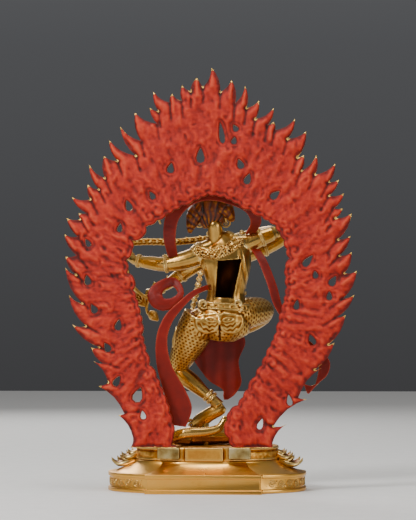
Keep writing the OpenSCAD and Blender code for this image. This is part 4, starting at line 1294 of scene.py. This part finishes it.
class STATUE_OT_bangles(bpy.types.Operator):
    """Armlets, bracelets, anklets and earrings"""
    bl_idname = "statue.bangles"
    bl_label = "Bangles and earrings"

    def execute(self, context):
        s = MM * K
        chased = gilding("Chased_Gilding")
        for node, crest in (("armlets", 2.4), ("bracelets", 1.3), ("anklets", 0.0)):
            source, bm = cad_copy(node), bmesh.new()
            for group in islands(source):
                centre, (_, _, axis) = axes_of([v.co for v in group])
                spans = [(v.co - centre - axis * (v.co - centre).dot(axis)).length for v in group]
                radius, thick = (max(spans) + min(spans)) / 2, (max(spans) - min(spans)) / 2
                for shift in (-0.55, 0.55):
                    torus(bm, centre + axis * thick * shift, axis, radius, thick * 0.62, 48, 10)
                turn = axis.to_track_quat("Z", "Y").to_matrix()
                for a in np.linspace(0, math.tau, 22, endpoint=False):
                    ball(bm, centre + turn @ Vector((math.cos(a), math.sin(a), 0)) * (radius + thick * 0.45),
                         thick * 0.36, 1)
                if crest:
                    out = Vector((0, 0.45, 1)) if node == "armlets" else Vector((0, 0.6, 0.8))
                    out = (out - axis * out.dot(axis)).normalized()
                    rosette(bm, centre + out * (radius + thick * 0.6), out, crest * s)
                    for swing in (-0.32, 0.32):
                        tilt = Matrix.Rotation(swing, 3, axis) @ out
                        rosette(bm, centre + tilt * (radius + thick * 0.5), tilt, crest * 0.62 * s, 5)
            source.free()
            obj = piece_from(bm, node + "_rings")
            mark_wear(obj, 0.8)
            stand_for(obj, "figure", [node], chased)
        source, bm = cad_copy("earrings"), bmesh.new()
        for group in islands(source):
            centre, (_, _, axis) = axes_of([v.co for v in group])
            torus(bm, centre, axis, 3.2 * s, 0.85 * s, 36, 10)
            for a in np.linspace(0, math.tau, 12, endpoint=False):
                ball(bm, centre + Vector((math.cos(a), 0, math.sin(a))) * 3.4 * s, 0.62 * s, 1)
            rosette(bm, centre + Vector((0, -0.3 * s, 0)), Vector((0, -1, 0)), 1.9 * s)
            rosette(bm, centre + Vector((0, 0.3 * s, 0)), Vector((0, 1, 0)), 1.9 * s)
        source.free()
        obj = piece_from(bm, "earring_hoops")
        mark_wear(obj, 0.8)
        stand_for(obj, "figure", ["earrings"], chased)
        return {"FINISHED"}


class STATUE_OT_weapons(bpy.types.Operator):
    """Bow and arrow of flowers, lotus spray and goad"""
    bl_idname = "statue.weapons"
    bl_label = "Bow, arrow, lotus and goad"

    def execute(self, context):
        s = MM * K
        chased = gilding("Chased_Gilding")
        brown = gilding("Brown_Gilding")
        bm = cad_copy("flower_bow")
        arc = [(38, -6, 129), (49, -7, 121), (61, -7, 129), (67, -7, 143), (70, -7, 176), (65, -7, 190), (54, -7, 198),
               (44, -6, 192)]
        for x, y, z in arc:
            rosette(bm, at(x, y + 1, z), Vector((0, 1, 0)), 1.9 * s, 5)
            rosette(bm, at(x, y - 1, z), Vector((0, -1, 0)), 1.9 * s, 5)
        bow = casting("bow_casting", bm, 0.36 * s, 2)
        mark_wear(bow, 1.2)
        stand_for(bow, "figure", ["flower_bow"], chased)
        bm = cad_copy("flower_arrow")
        nock, tip = at(-14, -17, 170), at(97, -6, 165)
        for i, t in enumerate(np.linspace(0.12, 0.9, 17)):
            p = nock.lerp(tip, t) + Vector((0, 0, 0.8 * s * math.sin(math.radians(720 * t))))
            side = 1 if i % 2 else -1
            bone(bm, p, p + Vector((2.6 * s, 0, side * 2.2 * s)), 1.7 * s, 0.9 * s, 10)
            ball(bm, p + Vector((0, 0.9 * s, 0)), 1.5 * s, 1)
        arrow = casting("arrow_casting", bm, 0.36 * s, 2)

        def leaves(x, y, z, no):
            flat = step_up(np.abs(no[:, 1]), 0.3, 0.6)
            mid = z - (170 - 5 * (x + 14) / 111)
            return flat * (0.22 * np.abs(np.sin(0.8 * x - np.abs(mid) * 0.9)) + 0.25 * bump(mid, 0.6) - 0.12)
        sculpt(arrow, leaves)
        mark_wear(arrow, 1.6, 2)
        stand_for(arrow, "figure", ["flower_arrow"], brown)
        bm = cad_copy("lotus_spray")
        for t, reach_out in ((0.0, 4.6), (0.35, 3.4), (0.7, 2.0)):
            for a in np.linspace(0, math.tau, 8, endpoint=False):
                way = Vector((0.78, 0, 0.62))
                side = Matrix.Rotation(a + t, 3, way) @ Vector((0, 1, 0))
                root = at(54 + 5 * t, -7, 117.5 + 5 * t)
                bone(bm, root, root + (side * reach_out + way * 3.2) * s, 0.9 * s, 0.4 * s, 8)
        lotus = casting("lotus_casting", bm, 0.36 * s, 2)
        mark_wear(lotus, 1.2)
        stand_for(lotus, "figure", ["lotus_spray"], brown)
        bm = cad_copy("goad")
        for z in (-20, -8, 8, 14, 23):
            torus(bm, at(-74, -7, 187 + z), Vector((0, 0, 1)), 1.9 * s, 0.8 * s, 24, 8)
        goad = casting("goad_casting", bm, 0.32 * s, 2)
        mark_wear(goad, 1.2)
        stand_for(goad, "figure", ["goad"], chased)
        return {"FINISHED"}


class STATUE_OT_scarves(bpy.types.Operator):
    """Stiff cast scarves and loincloth, painted red behind and left gilt at the edges and in front"""
    bl_idname = "statue.scarves"
    bl_label = "Scarves and loincloth"

    def execute(self, context):
        s = MM * K
        paint = scarf_paint()
        for node in ("scarf_arch", "scarf_right", "scarf_left", "scarf_loop", "loincloth"):
            obj = casting(node + "_casting", cad_copy(node), 0.45 * s, 6)
            co = coords(obj.data)
            folds = 0.30 * wax(co, 130, 2)
            if node == "loincloth":
                folds = 0.8 * np.sin(co[:, 0] / s * 0.55 + 1.2) + 0.35 * wax(co, 120, 2)
            no = normals(obj.data)
            flat = step_up(np.abs(no[:, 1]), 0.3, 0.8)
            set_coords(obj.data, co + no * (folds * 0.5 * flat * s)[:, None])
            mark_wear(obj, 0.8, 2)
            no = normals(obj.data)
            edge = 1 - step_up(np.abs(no[:, 1]), 0.15, 0.6)
            front = step_up(-no[:, 1], 0.1, 0.4)
            mark(obj, "bare", np.clip(front + 0.55 * edge * (node != "loincloth"), 0, 1))
            stand_for(obj, "figure", [node], paint)
        return {"FINISHED"}


class STATUE_OT_prone(bpy.types.Operator):
    """Prone figure underfoot, and the rod that fixes the dancer over it"""
    bl_idname = "statue.prone"
    bl_label = "Prone figure and rod"

    def execute(self, context):
        s = MM * K
        bm = cad_copy("prone_figure")
        face = Vector((-0.5, -0.85, 0.15)).normalized()
        up = Vector((0, 0, 1))
        side = face.cross(up).normalized()
        head = at(-33, -18, 7.6)
        ball(bm, head + face * 1.5 * s, 6.6 * s, 3)
        bone(bm, head + face * 7.6 * s + up * 1.6 * s, head + face * 9.2 * s - up * 1.2 * s, 0.7 * s, 1.0 * s)
        for way in (-1, 1):
            ball(bm, head + face * 6.9 * s + side * way * 2.5 * s + up * 1.4 * s, 1.2 * s)
            bone(bm, head + face * 7.9 * s - up * 3.2 * s, head + face * 7.3 * s + side * way * 1.8 * s - up * 3.1 * s,
                 0.6 * s, 0.5 * s, 8)
            ball(bm, head + side * way * 7 * s - face * 0.6 * s, 1.5 * s)
        for x, y, z, dx, dy in ((-50, 12, 4.4, -4, 0.5), (48, -16, 5.2, 4.5, 0.5)):      # two hands, fingers in a row
            for lift in np.linspace(-2.5, 2.5, 5):
                bone(bm, at(x, y + lift, z), at(x + dx, y + lift + dy, z), 0.95 * s, 0.7 * s, 10)
        for shift in np.linspace(-1.6, 2.0, 5):                                           # the raised foot's toes
            bone(bm, at(-15.5 + shift, 26, 21), at(-17.0 + shift, 26.3, 24.2), 0.95 * s, 0.7 * s, 10)
        obj = casting("prone_casting", bm, 0.5 * s, 24)
        co = coords(obj.data)
        co[:, 2] = np.maximum(co[:, 2], SEAT)
        set_coords(obj.data, co)
        mark_wear(obj, 0.8)
        stand_for(obj, "figure", ["prone_figure"], gilding("Burnished_Gilding"))
        rod = crisp_copy("figure_rod", "rod", 0.3 * MM, 2)
        even_wear(rod, 0.5)
        stand_for(rod, "figure", ["figure_rod"], filed_brass())
        return {"FINISHED"}


# ---- aureole ------------------------------------------------------------------------------

def outline_loops(bm, y_face):
    """Closed outlines of the flat face at y_face, as arrays of x, z; the longest comes first."""
    rim = {}
    for e in bm.edges:
        a, b = e.verts
        if abs(a.co.y - y_face) < 1e-5 and abs(b.co.y - y_face) < 1e-5 and len(e.link_faces) == 2 \
                and min(abs(f.normal.y) for f in e.link_faces) < 0.5:
            rim.setdefault(a, []).append(b)
            rim.setdefault(b, []).append(a)
    loops = []
    while rim:
        start = max(rim, key=lambda v: v.co.z)
        path, here = [start], start
        while True:
            onward = [v for v in rim[here] if v in rim and (len(path) < 2 or v is not path[-2]) and v not in path[-3:]]
            if not onward:
                break
            here = onward[0]
            if here is start:
                break
            path.append(here)
            if len(path) > 5000:
                raise RuntimeError("The aureole's outline doesn't close.")
        for v in path:
            rim.pop(v, None)
        loops.append(np.array([(v.co.x, v.co.z) for v in path]))
    return sorted(loops, key=len, reverse=True)


def nearest_on(points, starts, ends, chunk=4000):
    """Distance from each point to the nearest of the segments."""
    span = ends - starts
    size = np.maximum((span ** 2).sum(1), 1e-18)
    out = np.empty(len(points))
    for i in range(0, len(points), chunk):
        p = points[i:i + chunk, None, :]
        t = np.clip(((p - starts) * span).sum(2) / size, 0, 1)
        out[i:i + chunk] = np.sqrt((((starts + t[..., None] * span) - p) ** 2).sum(2).min(1))
    return out


class STATUE_OT_aureole(bpy.types.Operator):
    """Flame aureole: flames modelled in wax round a scalloped opening, red behind and gilt in front"""
    bl_idname = "statue.aureole"
    bl_label = "Flame aureole"

    def execute(self, context):
        node = cad_copy("flame_aureole")
        low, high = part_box("flame_aureole")
        middle, half = (low.y + high.y) / 2, (high.y - low.y) / 2
        loops = outline_loops(node, high.y)
        step = sizes().flame_grid * 1.0
        nx, nz = math.ceil((high.x - low.x) / step) + 2, math.ceil((high.z - low.z) / step) + 2
        slab = bmesh.new()
        centre = Vector(((low.x + high.x) / 2, low.y + 0.04 * MM, (low.z + high.z) / 2))
        upright = Matrix.Translation(centre) @ Matrix.Rotation(math.pi / 2, 4, "X")
        bmesh.ops.create_grid(slab, x_segments=nx, y_segments=nz, size=0.5,
                              matrix=upright @ Matrix.Diagonal((nx * step, nz * step, 1, 1)))
        lifted = bmesh.ops.extrude_face_region(slab, geom=list(slab.faces))
        bmesh.ops.translate(slab, verts=[v for v in lifted["geom"] if isinstance(v, bmesh.types.BMVert)],
                            vec=(0, high.y - low.y - 0.08 * MM, 0))
        bmesh.ops.recalc_face_normals(slab, faces=slab.faces)
        obj = piece_from(slab, "aureole_casting")
        tool = piece_from(node, "outline")
        mod = obj.modifiers.new("Outline", "BOOLEAN")
        mod.operation = "INTERSECT"
        mod.solver = "MANIFOLD"
        mod.object = tool
        settle(obj)
        bpy.data.objects.remove(tool)
        bm = bmesh.new()
        bm.from_mesh(obj.data)
        bmesh.ops.remove_doubles(bm, verts=bm.verts, dist=0.02 * MM)
        bm.to_mesh(obj.data)
        bm.free()
        self.model_wax(obj, loops, middle, half)
        obj.data.shade_smooth()
        stand_for(obj, "aureole", ["flame_aureole"], flame_paint())
        return {"FINISHED"}

    @staticmethod
    def model_wax(obj, loops, middle, half):
        """Raises flames, curls, rims and lumps on both faces, and thins the edges."""
        co = coords(obj.data)
        flat = co[:, [0, 2]] / MM
        side = np.where(co[:, 1] > middle, 1.0, -1.0)
        loops = [l / MM for l in loops]
        seat = SEAT / MM
        main = loops[0]
        area = 0.5 * (main[:, 0] * np.roll(main[:, 1], -1) - np.roll(main[:, 0], -1) * main[:, 1]).sum()
        if area < 0:
            main = main[::-1]
        ahead = np.roll(main, -1, 0)
        mid = (main + ahead) / 2
        half_open = np.interp(mid[:, 1] - seat, [0, 40, 80, 120, 150, 205], [38, 52, 66, 84, 88, 85])
        inner = (np.abs(mid[:, 0] + 2) < half_open) & (mid[:, 1] - seat < 206) & (mid[:, 1] - seat > 0.3)
        d_in = nearest_on(flat, main[inner], ahead[inner])
        d_out = nearest_on(flat, main[~inner], ahead[~inner])
        small = [l for l in loops[1:] if len(l) > 5]
        d_drop = nearest_on(flat, np.concatenate(small), np.concatenate([np.roll(l, -1, 0) for l in small]))
        # tips and notches of the flames
        back, front = main - np.roll(main, 1, 0), ahead - main
        turn = np.arctan2(back[:, 0] * front[:, 1] - back[:, 1] * front[:, 0], (back * front).sum(1))
        is_out = ~inner & ~np.roll(inner, 1)
        tips = main[is_out & (turn > math.radians(75)) & (main[:, 1] > seat + 8)]
        notches = main[is_out & (turn < -math.radians(50)) & (main[:, 1] > seat + 8)]
        heart = np.array([-1.0, seat + 118.0])

        def inward(points, reach_in, bend):
            way = heart - points
            way /= np.linalg.norm(way, axis=1)[:, None]
            way[:, 1] -= bend
            way /= np.linalg.norm(way, axis=1)[:, None]
            return points + way * reach_in
        ridge = nearest_on(flat, tips, inward(tips, 15, 0.75))
        groove = nearest_on(flat, notches, inward(notches, 13, 0.75))
        d_tip = np.full(len(flat), 99.0)
        for t in tips:
            d_tip = np.minimum(d_tip, np.hypot(*(flat - t).T))
        edge = np.minimum(np.minimum(d_in, d_out), d_drop)
        rng = np.random.default_rng(SEED)
        relief = np.zeros(len(co))
        outer_zone = 1 - step_up(d_out, 11, 17)
        relief += (1.05 * bump(ridge, 1.3) - 0.95 * bump(groove, 1.2)) * outer_zone * step_up(edge, 0.2, 1.5)
        relief += 0.55 * bump(d_in - 1.2, 0.9) - 0.45 * bump(d_in - 3.0, 0.8)
        relief += 0.65 * bump(d_drop - 1.2, 0.8) - 0.2 * bump(d_drop - 2.9, 0.8)
        # curls, here and there along the opening
        lobe = main[inner]
        walk = np.concatenate([[0], np.cumsum(np.linalg.norm(np.diff(lobe, axis=0), axis=1))])
        spot = 6.0
        while spot < walk[-1] - 6:
            i = min(len(lobe) - 2, int(np.searchsorted(walk, spot)))
            spot += rng.uniform(11, 19)
            way = lobe[i + 1] - lobe[i - 1]
            way /= np.linalg.norm(way) + 1e-9
            normal = np.array([way[1], -way[0]])
            if (normal * (heart - lobe[i])).sum() > 0:
                normal = -normal
            size = rng.uniform(3.2, 5.6)
            c = lobe[i] + normal * (size + 2.4)
            near = np.hypot(*(flat - c).T)
            ang = np.arctan2(flat[:, 1] - c[1], flat[:, 0] - c[0])
            spiral = np.cos(near * 5.0 / size + ang * rng.choice([-1, 1]) + rng.uniform(0, 6))
            relief += 0.40 * spiral * (1 - step_up(near, size * 0.75, size * 1.05))
        # teardrop curls over the rest, most of them open at one side
        room = np.argwhere((side > 0) & (edge > 4.0) & (d_in > 9)).ravel()
        taken = []
        for _ in range(600):
            if len(taken) >= sizes().swirls:
                break
            c = flat[rng.choice(room)]
            if all(np.hypot(*(c - o)) > 9.0 for o in taken):
                taken.append(c)
        for c in taken:
            lean = c - heart
            a = math.atan2(lean[1], lean[0]) + rng.uniform(-0.9, 0.9) + 0.6 * np.sign(lean[0] + 0.01)
            u = (flat[:, 0] - c[0]) * math.cos(a) + (flat[:, 1] - c[1]) * math.sin(a)
            v = -(flat[:, 0] - c[0]) * math.sin(a) + (flat[:, 1] - c[1]) * math.cos(a)
            long, wide = rng.uniform(3.0, 5.6), rng.uniform(1.5, 2.9)
            r = np.hypot(u / long, (v + 0.3 * u * u / long) / (wide * (1 - 0.35 * np.clip(u / long, -1, 1))))
            shut = 0.55 + 0.45 * np.cos(np.arctan2(v, u) + rng.uniform(0, 6))
            relief += 0.50 * shut * bump(r - 1.0, 0.28) - rng.uniform(0.15, 0.6) * bump(r, 0.55)
        # wax pulled outwards by the fingers: long soft folds, with finer creases over them
        rel = flat - heart
        turn_to, away = np.arctan2(rel[:, 1], rel[:, 0]) * 96, np.hypot(*rel.T)
        folds = np.array([noise.fractal(Vector((a * 0.125, r * 0.060, s * 9)), 0.8, 2.0, 4)
                          for a, r, s in zip(turn_to, away, side)])
        creases = np.array([
            noise.ridged_multi_fractal(Vector((a * 0.10 + 0.2 * f, r * 0.055, 5 + s * 9)), 0.9, 2.1, 4, 1.0, 2.0)
            for a, r, s, f in zip(turn_to, away, side, folds)])
        grain = np.array([noise.noise(Vector((x * 0.50, z * 0.50, s * 3))) for (x, z), s in zip(flat, side)])
        relief += sizes().wax_relief / MM * (1.7 * folds + 0.65 * (creases - creases.mean()) + 0.30 * grain)
        thin = 0.40 + 0.60 * step_up(edge, 0, 4.5)
        crown_of_ring = 0.35 * step_up(edge, 2, 9)
        fade = 0.25 + 0.75 * step_up(edge, 0.0, 1.6)
        tenon = flat[:, 1] < seat + 0.6
        y = half / MM * thin + crown_of_ring + relief * fade
        y = np.where(tenon, half / MM, np.clip(y, 0.55, half / MM + 1.5))
        y = np.where(flat[:, 1] < seat + 3, np.minimum(y, half / MM + 0.15), y)
        co[:, 1] = middle + side * y * MM
        set_coords(obj.data, co)
        pairs = edge_pairs(obj.data)
        wide = y.copy()
        for _ in range(6):
            wide = spread(wide, pairs)
        sharp = y - wide
        sharp = 0.5 * sharp + 0.5 * spread(sharp, pairs)
        # Painted highlight on the relief's ridges and proudest parts, and painted shade in its hollows; the red's tone
        # follows it.
        lit = 0.5 + np.tanh(sharp * 1.8) * 0.40 + 0.05 * (y - half / MM)
        mark(obj, "wear_and_painted_light", lit)
        d_notch = np.full(len(flat), 99.0)
        for n in notches[rng.random(len(notches)) < 0.6]:
            d_notch = np.minimum(d_notch, np.hypot(*(flat - n).T))
        chips = 0.80 * bump(d_tip, 2.1) + 0.85 * bump(d_notch, 1.3) + 0.42 * bump(edge, 0.6)
        bare = np.where(side > 0, chips, 1.0)
        bare = np.where(tenon, 1.0, bare)
        mark(obj, "bare", bare)


# ---- stage --------------------------------------------------------------------------------

class STATUE_OT_stage(bpy.types.Operator):
    """Pale floor, soft studio light and a camera behind the statue"""
    bl_idname = "statue.stage"
    bl_label = "Stage"

    def execute(self, context):
        low, high = CAD_BOX
        bm = bmesh.new()
        bmesh.ops.create_grid(bm, x_segments=1, y_segments=1, size=3.0, matrix=Matrix.Translation((0, 0, low[2])))
        floor = piece_from(bm, "floor", smooth=False)
        floor.data.materials.append(matt_paper())
        world = bpy.data.worlds.new("Studio")
        world.use_nodes = True
        tree = world.node_tree
        sky = tree.nodes["Background"]
        place = add(tree, "ShaderNodeTexCoord").outputs["Generated"]
        height = add(tree, "ShaderNodeSeparateXYZ", [(place, "Vector")])
        rise = add(tree, "ShaderNodeMapRange", [(height.outputs["Z"], "Value")], From_Min=-1, From_Max=1)
        add(tree, "ShaderNodeValToRGB", [(rise.outputs["Result"], "Fac")], [("Color", sky.inputs["Color"])],
            stops=[(0.0, "6E6D6B"), (0.47, "5A5A5C"), (0.58, "77787B"), (1.0, "F2F3F5")])
        sky.inputs["Strength"].default_value = 0.45
        context.scene.world = world
        middle = Vector(((low[0] + high[0]) / 2, 0, (low[2] + high[2]) / 2))
        for name, place, size, power in (("Key", (0.85, 1.00, 1.05), 0.40, 20.0), ("Fill", (-1.2, 1.1, 0.35), 0.8, 6.0),
                                         ("Top", (-0.1, 0.25, 1.30), 0.7, 9.0), ("Front", (0.5, -1.3, 0.9), 0.8, 10.0)):
            lamp = bpy.data.lights.new(name, "AREA")
            lamp.shape = "DISK"
            lamp.size = size
            lamp.energy = power
            obj = bpy.data.objects.new(name, lamp)
            obj.location = place
            obj.rotation_euler = (middle - Vector(place)).to_track_quat("-Z", "Y").to_euler()
            context.scene.collection.objects.link(obj)
        data = bpy.data.cameras.new("Camera")
        data.sensor_fit = "HORIZONTAL"
        data.sensor_width = 36
        data.lens = 158
        camera = bpy.data.objects.new("Camera", data)
        camera.location = (-0.090, 1.50, 0.120)
        target = Vector((-0.003, 0.040, 0.186))
        camera.rotation_euler = (target - camera.location).to_track_quat("-Z", "Y").to_euler()
        context.scene.collection.objects.link(camera)
        context.scene.camera = camera
        return {"FINISHED"}


# ---- panel and run ------------------------------------------------------------------------

STEPS = (STATUE_OT_stage, STATUE_OT_plinth, STATUE_OT_drum, STATUE_OT_seat, STATUE_OT_flesh, STATUE_OT_head,
         STATUE_OT_hair, STATUE_OT_trousers, STATUE_OT_legs, STATUE_OT_collar, STATUE_OT_belt, STATUE_OT_garland,
         STATUE_OT_bangles, STATUE_OT_weapons, STATUE_OT_scarves, STATUE_OT_prone, STATUE_OT_aureole)


class VIEW3D_PT_statue(bpy.types.Panel):
    """The statue's pieces and finishes"""
    bl_label = "Statue"
    bl_idname = "VIEW3D_PT_statue"
    bl_space_type = "VIEW_3D"
    bl_region_type = "UI"
    bl_category = "Statue"

    def draw(self, context):
        for group in (context.scene.statue_sizes, context.scene.statue_finish):
            box = self.layout.box()
            for name in group.bl_rna.properties.keys():
                if name not in ("rna_type", "name"):
                    box.prop(group, name)
        for step in STEPS:
            self.layout.operator(step.bl_idname)


CLASSES = (StatueSizes, StatueFinish, *STEPS, VIEW3D_PT_statue)


def register():
    for cls in CLASSES:
        bpy.utils.register_class(cls)
    bpy.types.Scene.statue_sizes = PointerProperty(type=StatueSizes)
    bpy.types.Scene.statue_finish = PointerProperty(type=StatueFinish)


def unregister():
    del bpy.types.Scene.statue_sizes
    del bpy.types.Scene.statue_finish
    for cls in reversed(CLASSES):
        bpy.utils.unregister_class(cls)


def main():
    register()
    for step in STEPS:
        group, name = step.bl_idname.split(".")
        getattr(getattr(bpy.ops, group), name)()
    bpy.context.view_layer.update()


if __name__ == "__main__":
    main()
